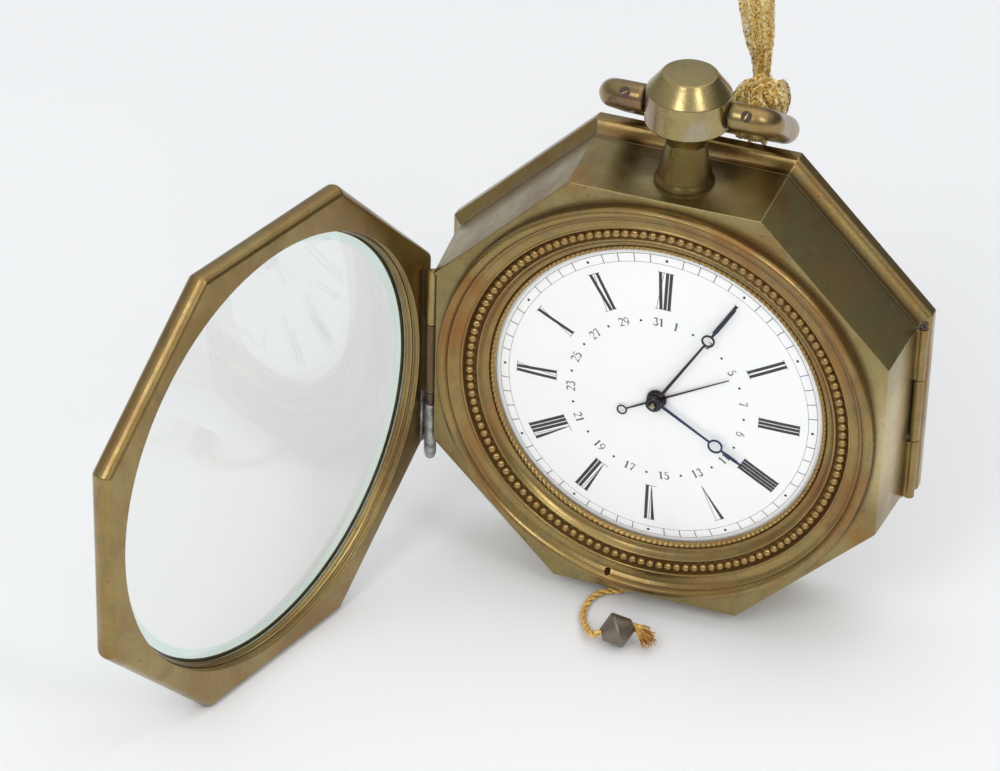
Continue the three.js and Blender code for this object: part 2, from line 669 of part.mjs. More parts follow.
const RATCHET = { teeth: 20, module: 0.6, front: 20.4, back: 21.2 };
function windingArbor() {
  const [x, z] = barrelAt;
  const arbor = disc(1.9, 0, 10.1, 16.4, x, z, 12).add(disc(0.9, 0, 8.4, 21.6, x, z, 10));
  const ratchet = gear(RATCHET.teeth, RATCHET.module, RATCHET.front, RATCHET.back, barrelAt);
  return arbor.add(ratchet).add(box(x - 0.9, x + 0.9, 21.1, 24.8, z - 0.9, z + 0.9));
}
piece(trainGroups.winding, "winding_arbor", windingArbor(), STEEL);

function click() {
  const [x, z] = barrelAt;
  const arm = plate(polygon([[x + 7.2, z - 2], [x + 11.5, z - 4.2], [x + 12.6, z - 2.4], [x + 7.4, z - 1.2]]),
    RATCHET.front, RATCHET.back);
  return arm.add(disc(1.3, 0, topBack + 0.1, RATCHET.back + 0.5, x + 12, z - 3.3, 12));
}
piece(caseGroup, "click", click(), STEEL);

piece(trainGroups.third, "third_wheel",
  wheelOnArbor(thirdAt,
    gear(TRAIN.third.teeth, TRAIN.third.module, 14.4, 15.2, thirdAt, fourthAngle),
    gear(TRAIN.third.pinion, TRAIN.centre.module, 15.1, 17.8, thirdAt,
      gapPhase(thirdAngle, TRAIN.third.pinion)),
    [8.6, 19.8]),
  GILT);
piece(trainGroups.fourth, "fourth_wheel",
  wheelOnArbor(fourthAt,
    gear(TRAIN.fourth.teeth, TRAIN.fourth.module, 11.6, 12.4, fourthAt, escapeAngle),
    gear(TRAIN.fourth.pinion, TRAIN.third.module, 12.3, 15.6, fourthAt,
      gapPhase(fourthAngle, TRAIN.fourth.pinion)),
    [8.6, 19.8]),
  GILT);

function escapeWheel() {
  const teeth = [];
  for (let i = 0; i < TRAIN.escape.teeth; i++) {
    const a = (i * 2 * Math.PI) / TRAIN.escape.teeth;
    teeth.push([3.9 * Math.cos(a - 0.1), 3.9 * Math.sin(a - 0.1)], [5.4 * Math.cos(a), 5.4 * Math.sin(a)],
      [3.9 * Math.cos(a + 0.1), 3.9 * Math.sin(a + 0.1)]);
  }
  return plate(polygon(teeth), 14.6, 15.2).translate([escapeAt[0], 0, escapeAt[1]]);
}
piece(trainGroups.escape, "escape_wheel",
  wheelOnArbor(escapeAt, escapeWheel(),
    gear(TRAIN.escape.pinion, TRAIN.fourth.module, 11.2, 14.7, escapeAt,
      gapPhase(escapeAngle, TRAIN.escape.pinion)),
    [8.6, 19.8]),
  STEEL);

const BALANCE = { radius: 8.6, front: 20.9, back: 21.9 };
function balance() {
  const [x, z] = balanceAt;
  let made = disc(BALANCE.radius, BALANCE.radius - 1.1, BALANCE.front, BALANCE.back, x, z, 28);
  for (let i = 0; i < 3; i++) {
    const arm = new THREE.BoxGeometry(BALANCE.radius - 0.5, 0.6, 0.9);
    arm.translate((BALANCE.radius - 0.5) / 2, 0, 0);
    arm.rotateY((i * 2 * Math.PI) / 3 + 0.3);
    arm.translate(x, BALANCE.front + 0.5, z);
    made = made.add(solid(arm));
  }
  return made.add(disc(0.55, 0, 8.6, 23.2, x, z, 10));
}
piece(trainGroups.balance, "balance_wheel", balance(), GILT);

function balanceCock() {
  const [x, z] = balanceAt;
  const away = Math.atan2(z, x) + 0.9;
  const foot = [x + 13.4 * Math.cos(away), z + 13.4 * Math.sin(away)];
  const side = [Math.cos(away + Math.PI / 2), Math.sin(away + Math.PI / 2)];
  const corner = (p, w) => [p[0] + w * side[0], p[1] + w * side[1]];
  const table = plate(polygon([corner([x, z], -3), corner(foot, -4.4), corner(foot, 4.4),
    corner([x, z], 3)]), 23.6, 24.6);
  const head = disc(4.6, 0, 23.6, 24.6, x, z, 24);
  const block = disc(3.4, 0, topBack + 0.05, 23.7, foot[0], foot[1], 20);
  return table.add(head).add(block);
}
piece(caseGroup, "balance_cock", balanceCock(), GILT);

class Spiral extends THREE.Curve {
  getPoint(t, target = new THREE.Vector3()) {
    const a = t * 5 * 2 * Math.PI;
    const r = 1.1 + 3.1 * t;
    return target.set(balanceAt[0] + r * Math.cos(a), 22.6, balanceAt[1] + r * Math.sin(a));
  }
}
piece(caseGroup, "balance_spring", rod(new Spiral(), 0.11, 56, 2), BLUED);

// ---------------------------------------------------------------- pull cord, pulley, hammer and gong
const cordGroup = new THREE.Group();
const pulleyGroup = new THREE.Group();
clock.add(cordGroup, pulleyGroup);

const BEAD = { centre: [-1.4, -17.6, -59.4], heading: 30, radius: 4.6, half: 4.3, end: 1.5 };
const heading = BEAD.heading * DEG;
const alongBead = (s, lift = 0) => new THREE.Vector3(
  BEAD.centre[0] + s * Math.cos(heading),
  BEAD.centre[1] + s * Math.sin(heading),
  BEAD.centre[2] + lift,
);

function cordPath() {
  const f = CORD.floor;
  return new THREE.CatmullRomCurve3([
    new THREE.Vector3(CORD.x, CORD.y, CORD.top),
    new THREE.Vector3(CORD.x, CORD.y, -45),
    new THREE.Vector3(CORD.x, CORD.y, -58),
    new THREE.Vector3(CORD.x - 1, CORD.y - 1.4, f + 0.6),
    new THREE.Vector3(-8, 3.6, f),
    new THREE.Vector3(-11, 2, f),
    new THREE.Vector3(-13.2, -1.5, f),
    new THREE.Vector3(-13.7, -6.5, f),
    new THREE.Vector3(-12.9, -10.8, f),
    new THREE.Vector3(-11.2, -14, f + 0.2),
    new THREE.Vector3(-8.9, -18, f + 1.4),
    alongBead(-5.8, -0.6),
    alongBead(-BEAD.half, -0.1),
    alongBead(0),
    alongBead(BEAD.half + 0.6),
  ], false, "centripetal");
}
piece(cordGroup, "pull_cord", rod(cordPath(), CORD.radius, 56, 3), GOLD_THREAD);

function aboutBeadAxis(profile, segments) {
  const geometry = new THREE.LatheGeometry(points2(profile), segments);
  geometry.rotateZ(-Math.PI / 2);
  geometry.rotateZ(heading);
  geometry.translate(...BEAD.centre);
  return solid(geometry);
}
piece(cordGroup, "cord_bead",
  aboutBeadAxis([[1.15, -BEAD.half], [BEAD.end, -BEAD.half], [BEAD.radius - 0.25, -0.4],
    [BEAD.radius, 0], [BEAD.radius - 0.25, 0.4], [BEAD.end, BEAD.half], [1.15, BEAD.half],
    [1.15, -BEAD.half]], 20),
  BRONZE);
piece(cordGroup, "cord_tassel",
  aboutBeadAxis([[0, BEAD.half + 0.9], [1.5, BEAD.half + 1], [2.6, BEAD.half + 3], [1, BEAD.half + 5.4],
    [0, BEAD.half + 5.6]], 10),
  GOLD_THREAD);

// Bushing that lines the cord's hole in the bottom of the case.
piece(caseGroup, "cord_bushing",
  upright([[1.25, -60.2], [1.95, -60.2], [1.95, -57.2], [1.25, -57.2], [1.25, -60.2]], CORD.x, CORD.y, 16),
  BRASS);

function cordPulley() {
  const [x, z] = pulleyAt;
  const groove = CORD.pulley;
  const profile = [[1.1, 5.6], [groove, 5.6], [groove, 5.7], [groove - 1.4, 6.9], [groove, 8], [1.1, 8],
    [1.1, 5.6]];
  const geometry = new THREE.LatheGeometry(points2(profile), 24);
  geometry.translate(x, 0, z);
  return solid(geometry);
}
piece(pulleyGroup, "cord_pulley", cordPulley(), GILT);
piece(caseGroup, "pulley_post", disc(0.95, 0, 5.7, 8.1, pulleyAt[0], pulleyAt[1], 12), STEEL);

function hammer() {
  const [x, z] = hammerAt;
  const arm = plate(polygon([[x - 1, z - 1.6], [x + 1, z - 1.6], [x + 13.2, z + 8.6], [x + 11.8, z + 10.2]]),
    21.4, 22.4);
  const head = box(x + 10.6, x + 13.8, 21.2, 23.8, z + 7.6, z + 11);
  return arm.add(head).add(disc(0.7, 0, 8.6, 22.5, x, z, 10)).add(disc(1.8, 0, 20.8, 22.5, x, z, 12));
}
piece(trainGroups.hammer, "repeat_hammer", hammer(), STEEL);

const GONG = { radius: 50, wire: 0.8, y: 22.6, from: -70, to: 230 };
class GongCurve extends THREE.Curve {
  getPoint(t, target = new THREE.Vector3()) {
    const a = (GONG.from + (GONG.to - GONG.from) * t) * DEG;
    return target.set(GONG.radius * Math.cos(a), GONG.y, GONG.radius * Math.sin(a));
  }
}
piece(caseGroup, "gong_wire", rod(new GongCurve(), GONG.wire, 40, 3), BLUED);
function gongBlock() {
  const a = (GONG.from - 3.5) * DEG;
  const geometry = new THREE.BoxGeometry(5, 6.5, 4);
  geometry.rotateY(-a);
  geometry.translate(GONG.radius * Math.cos(a), 21.8, GONG.radius * Math.sin(a));
  return solid(geometry);
}
piece(caseGroup, "gong_block", gongBlock(), GILT);

// ---------------------------------------------------------------- place the origin and hand over
const root = new THREE.Group();
clock.position.y = -CASE_DEPTH;
root.add(clock);

export default root;
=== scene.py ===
import json
import math
import random

import bmesh
import bpy
from mathutils import Matrix, Vector


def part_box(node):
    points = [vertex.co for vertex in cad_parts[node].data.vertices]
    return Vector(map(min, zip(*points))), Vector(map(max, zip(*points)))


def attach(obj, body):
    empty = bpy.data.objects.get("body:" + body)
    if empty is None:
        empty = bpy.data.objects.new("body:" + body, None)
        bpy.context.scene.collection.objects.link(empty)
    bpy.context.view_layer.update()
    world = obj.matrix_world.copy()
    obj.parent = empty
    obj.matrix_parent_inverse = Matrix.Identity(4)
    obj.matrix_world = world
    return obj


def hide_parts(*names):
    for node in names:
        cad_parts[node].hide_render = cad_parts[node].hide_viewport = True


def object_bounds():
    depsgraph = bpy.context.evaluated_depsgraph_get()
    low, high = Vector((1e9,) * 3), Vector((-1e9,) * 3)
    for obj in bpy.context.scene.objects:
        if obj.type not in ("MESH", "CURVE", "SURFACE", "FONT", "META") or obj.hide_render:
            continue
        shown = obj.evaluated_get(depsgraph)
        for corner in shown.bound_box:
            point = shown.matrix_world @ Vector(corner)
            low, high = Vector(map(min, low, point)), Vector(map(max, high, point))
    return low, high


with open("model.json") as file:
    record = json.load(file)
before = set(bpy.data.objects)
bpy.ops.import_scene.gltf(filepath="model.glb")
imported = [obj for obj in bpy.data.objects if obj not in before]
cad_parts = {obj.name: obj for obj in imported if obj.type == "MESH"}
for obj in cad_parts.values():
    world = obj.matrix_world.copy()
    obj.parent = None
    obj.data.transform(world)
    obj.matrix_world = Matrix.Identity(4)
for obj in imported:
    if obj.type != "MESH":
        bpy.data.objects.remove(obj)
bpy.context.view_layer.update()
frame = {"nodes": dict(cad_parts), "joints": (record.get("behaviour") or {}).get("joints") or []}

# ------------------------------------------------------------------ dimensions, in millimetres
# Pieces are laid out as the CAD source does it: y = 0 is the front plane of the case.
MM = 0.001
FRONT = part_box("case_body")[0].y / MM
DEG = math.pi / 180
JOINT = {j["name"]: j for j in frame["joints"]}


def joint_at(name):
    x, y, z = JOINT[name]["pos_m"]
    return x / MM, y / MM - FRONT, z / MM


DOOR_OPEN, BOW_LEAN = 106.5, 33.4  # degrees, as the door and the bow rest
DOOR_X, DOOR_Y, _ = joint_at("door_hinge")
COVER_X, COVER_Y, _ = joint_at("cover_hinge")
BOW_X, BOW_Y, BOW_Z = joint_at("bow_pivot")
_, FAR_Y, FAR_Z = joint_at("ribbon_loop")
SAME = 1e-6  # lengths under this count as nothing
HINGE_BORE = 0.75


# ------------------------------------------------------------------ mesh building
class Build:
    """Collects vertices and faces, in millimetres, with a material number per face."""

    def __init__(self):
        self.verts, self.faces, self.mats = [], [], []

    def add(self, verts, faces, mat=0):
        base = len(self.verts)
        self.verts += [tuple(v) for v in verts]
        self.faces += [tuple(base + i for i in f) for f in faces]
        self.mats += [mat] * len(faces)
        return self


def in_case(v):
    return (v[0] * MM, (v[1] + FRONT) * MM, v[2] * MM)


def turned(u, v, degrees):
    """The pair (u, v) turned anticlockwise."""
    a = degrees * DEG
    return u * math.cos(a) - v * math.sin(a), u * math.sin(a) + v * math.cos(a)


def in_door(v):
    """A point of the closed door, where it stands at rest."""
    x, y = turned(v[0] - DOOR_X, v[1] - DOOR_Y, -DOOR_OPEN)
    return in_case((DOOR_X + x, DOOR_Y + y, v[2]))


def in_bow(v):
    """A point of the bow laid level behind its pivot, leaned back as it rests."""
    y, z = turned(v[1] - BOW_Y, v[2] - BOW_Z, -BOW_LEAN)
    return in_case((v[0], BOW_Y + y, BOW_Z + z))


def face_out(mesh, weld=0):
    """Turns every face outward, once the points closer than weld are joined."""
    bm = bmesh.new()
    bm.from_mesh(mesh)
    if weld:
        bmesh.ops.remove_doubles(bm, verts=bm.verts, dist=weld)
    bmesh.ops.recalc_face_normals(bm, faces=bm.faces)
    bm.to_mesh(mesh)
    bm.free()


def linked(name, data):
    ob = bpy.data.objects.new(name, data)
    bpy.context.scene.collection.objects.link(ob)
    return ob


def piece(name, build, body, mats, replaces=(), place=in_case, sharp=32, fix=True):
    """A visible piece riding on a body, in place of the CAD nodes that it replaces."""
    mesh = bpy.data.meshes.new(name)
    mesh.from_pydata([place(v) for v in build.verts], [], build.faces)
    for m in mats:
        mesh.materials.append(m)
    mesh.polygons.foreach_set("material_index", build.mats)
    if fix:
        face_out(mesh)
    mesh.polygons.foreach_set("use_smooth", [True] * len(mesh.polygons))
    mesh.set_sharp_from_angle(angle=sharp * DEG)
    ob = linked(name, mesh)
    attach(ob, body)
    if replaces:
        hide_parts(*replaces)
    return ob


def rounded(profile, radius=0.2, steps=3, closed=False):
    """The profile with each corner replaced by a small arc."""
    pts = [Vector(p) for p in profile]
    out = []
    count = len(pts)
    for i, p in enumerate(pts):
        if not closed and i in (0, count - 1):
            out.append(tuple(p))
            continue
        a, b = pts[i - 1] - p, pts[(i + 1) % count] - p
        if a.length < SAME or b.length < SAME or a.angle(b) > 165 * DEG:
            out.append(tuple(p))
            continue
        reach = min(radius, 0.42 * a.length, 0.42 * b.length)
        p0, p2 = p + a.normalized() * reach, p + b.normalized() * reach
        for k in range(steps + 1):
            t = k / steps
            q = p0 * (1 - t) ** 2 + p * (2 * t * (1 - t)) + p2 * t**2
            out.append(tuple(q))
    return out


def skin(rings, closed):
    """Quads between rings of equal length; a ring of one point is a pole."""
    verts, faces, starts = [], [], []
    for ring in rings:
        starts.append((len(verts), len(ring)))
        verts += ring
    pairs = list(zip(range(len(rings) - 1), range(1, len(rings))))
    if closed:
        pairs.append((len(rings) - 1, 0))
    for i, j in pairs:
        (a, na), (b, nb) = starts[i], starts[j]
        n = max(na, nb)
        for k in range(n):
            m = (k + 1) % n
            if na == 1:
                faces.append((a, b + m, b + k))
            elif nb == 1:
                faces.append((a + k, a + m, b))
            else:
                faces.append((a + k, a + m, b + m, b + k))
    return verts, faces


def sheet(rows):
    """Quads between rows of points, left open at every side."""
    n = len(rows[0])
    faces = [
        (i * n + a, i * n + a + 1, (i + 1) * n + a + 1, (i + 1) * n + a) for i in range(len(rows) - 1)
        for a in range(n - 1)
    ]
    return [tuple(v) for row in rows for v in row], faces


def lathe(profile, n=192, closed=False, centre=(0, 0)):
    """A profile of (radius, y) about the dial's axis, or one parallel to it."""
    cx, cz = centre
    rings = []
    for r, y in profile:
        if r < SAME:
            rings.append([(cx, y, cz)])
        else:
            turns = [2 * math.pi * k / n for k in range(n)]
            rings.append([(cx + r * math.sin(a), y, cz + r * math.cos(a)) for a in turns])
    return skin(rings, closed)


def upright(profile, x, y, n=64, closed=False):
    """A profile of (radius, z) about a vertical line."""
    verts, faces = lathe(profile, n, closed)
    return [(x + vx, y - vz, vy) for vx, vy, vz in verts], faces


# Angles across one side of the octagon, closest together at its corners.
NEAR_CORNER = [0, 0.05, 0.11, 0.18, 0.3, 0.6, 1.2, 2.5, 4.5, 7, 9.5, 12, 14.5, 17, 19.75]
SIDE_ANGLES = ([-22.5 + a for a in NEAR_CORNER] + [0] + [22.5 - a for a in reversed(NEAR_CORNER[1:])])


def outline(kind, size, corner):
    """A circle of radius size, or an octagon of apothem size with rounded corners, as (x, z)."""
    pts = []
    for k in range(8):
        for phi in SIDE_ANGLES:
            r = size
            p = abs(phi) * DEG
            if kind == "o":
                inner = size - corner
                if math.tan(p) * size <= inner * math.tan(22.5 * DEG):
                    r = size / math.cos(p)
                else:
                    d = inner / math.cos(22.5 * DEG)
                    off = d * math.sin(22.5 * DEG - p)
                    r = d * math.cos(22.5 * DEG - p) + math.sqrt(max(corner**2 - off**2, 0))
            a = (45 * k + phi) * DEG
            pts.append((r * math.sin(a), r * math.cos(a)))
    return pts


def shell(sections, closed, corner=0.6):
    """Rings of octagons and circles at depths: sections of (kind, size, y)."""
    rings = []
    for kind, size, y in sections:
        if size < SAME:
            rings.append([(0, y, 0)])
        else:
            rings.append([(x, y, z) for x, z in outline(kind, size, corner)])
    return skin(rings, closed)


def mixed_profile(parts, radius=0.25):
    """Sections from runs of [kind, points], with softened corners inside each run."""
    out = []
    for kind, pts in parts:
        out += [(kind, p[0], p[1]) for p in rounded(pts, radius)]
    return out


def frames_along(points):
    """Parallel-transported side vectors along a path."""
    pts = [Vector(p) for p in points]
    tangents = []
    for i in range(len(pts)):
        a, b = pts[max(i - 1, 0)], pts[min(i + 1, len(pts) - 1)]
        tangents.append((b - a).normalized())
    up = Vector((0, 0, 1))
    if abs(tangents[0].dot(up)) > 0.9:
        up = Vector((1, 0, 0))
    side = tangents[0].cross(up).normalized()
    frames = []
    for i, t in enumerate(tangents):
        side = (side - t * side.dot(t)).normalized()
        frames.append((pts[i], t, side, t.cross(side).normalized()))
    return frames


def tube(points, radius, sides):
    """A rod along a path, its radius one number or one for each point."""
    rings = []
    radii = radius if isinstance(radius, (list, tuple)) else [radius] * len(points)
    for (p, t, s, u), r in zip(frames_along(points), radii):
        turns = [2 * math.pi * k / sides for k in range(sides)]
        rings.append([tuple(p + s * (r * math.cos(a)) + u * (r * math.sin(a))) for a in turns])
    rings = [[tuple(points[0])]] + rings + [[tuple(points[-1])]]
    return skin(rings, closed=False)


def spline(points, per=8):
    """Points along a smooth curve through the given ones."""
    pts = [Vector(p) for p in points]
    pts = [pts[0] * 2 - pts[1]] + pts + [pts[-1] * 2 - pts[-2]]
    out = []
    for i in range(1, len(pts) - 2):
        a, b, c, d = pts[i - 1 : i + 3]
        for k in range(per):
            t = k / per
            slope, bend, twist = c - a, 2 * a - 5 * b + 4 * c - d, 3 * b - a - 3 * c + d
            out.append(0.5 * (2 * b + slope * t + bend * t**2 + twist * t**3))
    out.append(pts[-2])
    return out


# ------------------------------------------------------------------ materials
SEAM = (21.65 + FRONT) * MM  # depth of the joint between case and rear cover


class Graph:
    """The nodes of a material or a world, built by naming each and what feeds it."""

    def __init__(self, owner, output="Material"):
        self.owner = owner
        owner.use_nodes = True
        self.tree = owner.node_tree
        self.tree.nodes.clear()
        self.out = self.tree.nodes.new("ShaderNodeOutput" + output)

    def node(self, kind, inputs=None, **settings):
        node = self.tree.nodes.new("ShaderNode" + kind)
        for key, value in settings.items():
            setattr(node, key, value)
        for key, value in (inputs or {}).items():
            socket = node.inputs[key]
            if isinstance(value, bpy.types.NodeSocket):
                self.tree.links.new(value, socket)
            elif hasattr(socket.default_value, "__len__") and len(value) == 3:
                size = len(socket.default_value)
                socket.default_value = (*value, 1)[:size]
            else:
                socket.default_value = value
        return node

    def math(self, operation, a, b=0.0, clamp=False):
        return self.node("Math", {0: a, 1: b}, operation=operation, use_clamp=clamp).outputs[0]

    def multiply(self, a, b, clamp=False):
        return self.math("MULTIPLY", a, b, clamp)

    def add(self, a, b, clamp=False):
        return self.math("ADD", a, b, clamp)

    def mix(self, factor, a, b):
        inputs = {0: factor, 6: a, 7: b}
        return self.node("Mix", inputs, data_type="RGBA", clamp_factor=True).outputs[2]

    def ramp(self, value, low, high, a=0.0, b=1.0):
        return self.node(
            "MapRange", {"Value": value, "From Min": low, "From Max": high, "To Min": a, "To Max": b},
            interpolation_type="SMOOTHSTEP"
        ).outputs[0]

    def coordinates(self):
        return self.node("TexCoord").outputs["Object"]

    def vector(self, operation, a, b):
        """The outputs of a vector sum: 0 where it gives a vector, 1 where it gives a number."""
        return self.node("VectorMath", {0: a, 1: b}, operation=operation).outputs

    def scaled(self, vector, scale):
        return self.vector("MULTIPLY", vector, scale)[0]

    def hidden(self, distance, samples=4):
        """How open a point is to what stands around it: 0 in a deep corner."""
        return self.node("AmbientOcclusion", {"Distance": distance}, samples=samples).outputs["AO"]

    def noise(self, vector, scale, detail=3.0, rough=0.55, distortion=0.0):
        inputs = {
            "Vector": vector, "Scale": scale, "Detail": detail, "Roughness": rough, "Distortion": distortion
        }
        return self.node("TexNoise", inputs).outputs[0]

    def bump(self, height, distance, strength=1.0, normal=None):
        inputs = {"Height": height, "Distance": distance, "Strength": strength}
        if normal is not None:
            inputs["Normal"] = normal
        return self.node("Bump", inputs).outputs[0]

    def surface(self, shader):
        self.tree.links.new(shader, self.out.inputs["Surface"])
        return self.owner

    def principled(self, inputs):
        return self.surface(self.node("BsdfPrincipled", inputs).outputs[0])


def paint(name):
    return Graph(bpy.data.materials.new(name))


STRETCH = {"brushed_y": (1500, 90, 1500), "brushed_z": (1500, 1500, 90), "brushed_x": (90, 1500, 1500)}


def tool_marks(g, vector, grain):
    """Fine marks left by turning or brushing, as a noise value."""
    if grain == "turned":
        x, _, z = g.node("SeparateXYZ", {0: vector}).outputs
        radius = g.math("SQRT", g.add(g.math("POWER", x, 2.0), g.math("POWER", z, 2.0)))
        inputs = {0: g.multiply(radius, 3200.0), 1: g.multiply(x, 60.0), 2: g.multiply(z, 60.0)}
        return g.noise(g.node("CombineXYZ", inputs).outputs[0], 1.0, 3.0, 0.6)
    if grain == "turned_pendant":
        return g.noise(g.scaled(vector, (70, 70, 2600)), 1.0, 3.0, 0.6)
    return g.noise(g.scaled(vector, STRETCH[grain]), 1.0, 2.0, 0.6)


WANDER = 0.005  # how far the outline of each patch strays, stains and painted light alike, in metres
GREEN_FILM = (0.19, 0.19, 0.1)
WORN_BRIGHT = (0.62, 0.46, 0.18)


def brass(
    name, base=(0.31, 0.225, 0.08), brown=(0.25, 0.118, 0.035), tarnish=0.5, verdigris=0.4, stains_and_lit_patches=(),
    grime_and_shade=(0.085, 0.053, 0.024), rough=0.3, grain="brushed_y", marks=0.5, pits=0.5, wear=0.7, dirt_and_shade=0.8,
    seed=0.0
):
    """Old brass: patches of brown and green film, dark spots, worn edges, dirt and painted shade in the
    corners, and given patches of stain and of painted light.
    """
    g = paint(name)
    place = g.vector("ADD", g.coordinates(), (seed, seed * 0.7, -seed))[0]
    clouds = g.noise(place, 42.0, 7.0, 0.62, 0.6)
    patches = g.noise(place, 120.0, 6.0, 0.6, 1.2)
    specks = g.noise(place, 900.0, 3.0, 0.6)
    colour = g.mix(g.multiply(g.ramp(clouds, 0.4, 0.66), tarnish), base, brown)
    film = g.multiply(g.ramp(patches, 0.5, 0.72), verdigris)
    colour = g.mix(film, colour, GREEN_FILM)
    streaks = g.noise(g.scaled(place, (230, 45, 70)), 1.0, 4.0, 0.65, 0.8)
    colour = g.mix(g.ramp(streaks, 0.52, 0.75, 0.0, 0.55 * tarnish), colour, (0.11, 0.082, 0.045))
    drift = g.node("TexNoise", {"Vector": place, "Scale": 260.0, "Detail": 4.0}).outputs["Color"]
    wandered = g.vector("ADD", g.coordinates(), g.scaled(drift, (WANDER, WANDER, WANDER)))[0]
    # Each patch blends a colour in by distance: most are stains, and some are painted light, such as a
    # painted reflection.
    for centre, reach, patch_colour, strength in stains_and_lit_patches:
        middle = tuple(c + WANDER / 2 for c in in_case(centre))
        away = g.vector("DISTANCE", wandered, middle)[1]
        colour = g.mix(g.ramp(away, reach * MM, reach * MM * 0.25, 0.0, strength), colour, patch_colour)
    colour = g.mix(
        g.multiply(g.ramp(specks, 0.52, 0.72), 0.35), colour, g.mix(0.5, colour, (0.1, 0.06, 0.03))
    )
    cells = g.node("TexVoronoi", {"Vector": place, "Scale": 420.0, "Randomness": 1.0})
    sparse = g.ramp(g.noise(place, 150.0, 2.0), 0.56, 0.66)
    spots = g.multiply(g.multiply(g.ramp(cells.outputs["Distance"], 0.2, 0.06), sparse), pits)
    colour = g.mix(spots, colour, (0.05, 0.032, 0.018))
    # Dirt and painted shade: where the surroundings hide the point, the brass darkens towards the crevice
    # colour and turns duller and less metallic.
    crevice = g.multiply(g.ramp(g.hidden(0.0016), 0.88, 0.35), dirt_and_shade)
    soft = g.node("Bevel", {"Radius": 0.00035}, samples=3).outputs[0]
    along = g.vector("DOT_PRODUCT", soft, g.node("NewGeometry").outputs["Normal"])[1]
    edge = g.multiply(g.ramp(along, 0.995, 0.9), g.ramp(patches, 0.3, 0.55, 0.35, 1.0))
    edge = g.multiply(edge, g.math("SUBTRACT", 1.0, crevice, True), True)
    depth = g.node("SeparateXYZ", {0: g.coordinates()}).outputs[1]
    seam = g.math("ABSOLUTE", g.math("SUBTRACT", depth, SEAM))
    edge = g.multiply(g.multiply(edge, g.ramp(seam, 0.0009, 0.0015)), wear)
    colour = g.mix(edge, colour, WORN_BRIGHT)
    # Dirt and painted shade in the corners.
    colour = g.mix(crevice, colour, grime_and_shade)
    colour = g.mix(g.ramp(seam, 0.0016, 0.0004, 0.0, 0.45), colour, (0.1, 0.07, 0.035))
    lines = tool_marks(g, place, grain)
    roughness = g.add(g.ramp(clouds, 0.3, 0.7, rough - 0.05, rough + 0.09), g.multiply(film, 0.16))
    roughness = g.add(roughness, g.multiply(g.math("SUBTRACT", lines, 0.5), 0.12 * marks))
    roughness = g.add(roughness, g.multiply(crevice, 0.3))
    roughness = g.add(roughness, g.multiply(spots, 0.3))
    roughness = g.math("SUBTRACT", roughness, g.multiply(edge, 0.08), True)
    normal = g.bump(lines, 0.00005, 0.6 * marks)
    normal = g.bump(specks, 0.00006, 0.45, normal)
    normal = g.bump(g.multiply(spots, -1.0), 0.00012, 0.8, normal)
    normal = g.bump(clouds, 0.0006, 0.12, normal)
    return g.principled({
        "Base Color": colour, "Metallic": g.math("SUBTRACT", 1.0,
        g.multiply(g.math("MAXIMUM", crevice, spots), 0.6)), "Roughness": roughness, "Normal": normal,
        "Coat Weight": 0.35, "Coat Roughness": 0.2, "Coat IOR": 1.45
    })


def plain_metal(name, colour, rough, dark=(0.05, 0.04, 0.03), grain="brushed_y", patch=0.4, tint=None):
    """Steel, gilt brass or bronze with fine marks, a little uneven colour, and painted shade in the corners.
    """
    g = paint(name)
    place = g.coordinates()
    clouds = g.noise(place, 160.0, 5.0, 0.6, 0.5)
    lines = tool_marks(g, place, grain)
    shade = g.mix(g.multiply(g.ramp(clouds, 0.45, 0.75), patch), colour, dark)
    if tint:
        shade = g.mix(g.ramp(g.noise(place, 60.0, 2.0), 0.4, 0.62), shade, tint)
    # Painted shade: darkened towards near-black where the surroundings hide the point.
    shade = g.mix(g.ramp(g.hidden(0.001), 0.8, 0.3, 0.0, 0.8), shade, (0.03, 0.022, 0.015))
    roughness = g.add(g.ramp(clouds, 0.3, 0.7, rough, rough + 0.12), g.multiply(lines, 0.08), True)
    normal = g.bump(lines, 0.00002, 0.4)
    return g.principled({"Base Color": shade, "Metallic": 1.0, "Roughness": roughness, "Normal": normal})


def enamel():
    """White glassy enamel, very slightly uneven."""
    g = paint("white_enamel")
    place = g.coordinates()
    tone = g.noise(place, 35.0, 3.0)
    colour = g.mix(g.ramp(tone, 0.35, 0.7), (0.93, 0.93, 0.92), (0.905, 0.91, 0.91))
    normal = g.bump(g.noise(place, 60.0, 2.0), 0.0002, 0.05)
    return g.principled({
        "Base Color": colour, "Roughness": 0.22, "Normal": normal, "Coat Weight": 0.5, "Coat Roughness": 0.05,
        "Subsurface Weight": 0.15, "Subsurface Radius": (0.0006, 0.0006, 0.0006), "Subsurface Scale": 1.0
    })


def ink(name, colour):
    """Fired black, a little worn."""
    g = paint(name)
    place = g.coordinates()
    worn = g.ramp(g.noise(place, 700.0, 3.0), 0.6, 0.85, 0.0, 0.5)
    tone = g.mix(worn, colour, (0.16, 0.16, 0.17))
    return g.principled({"Base Color": tone, "Roughness": 0.35, "Coat Weight": 0.4, "Coat Roughness": 0.08})


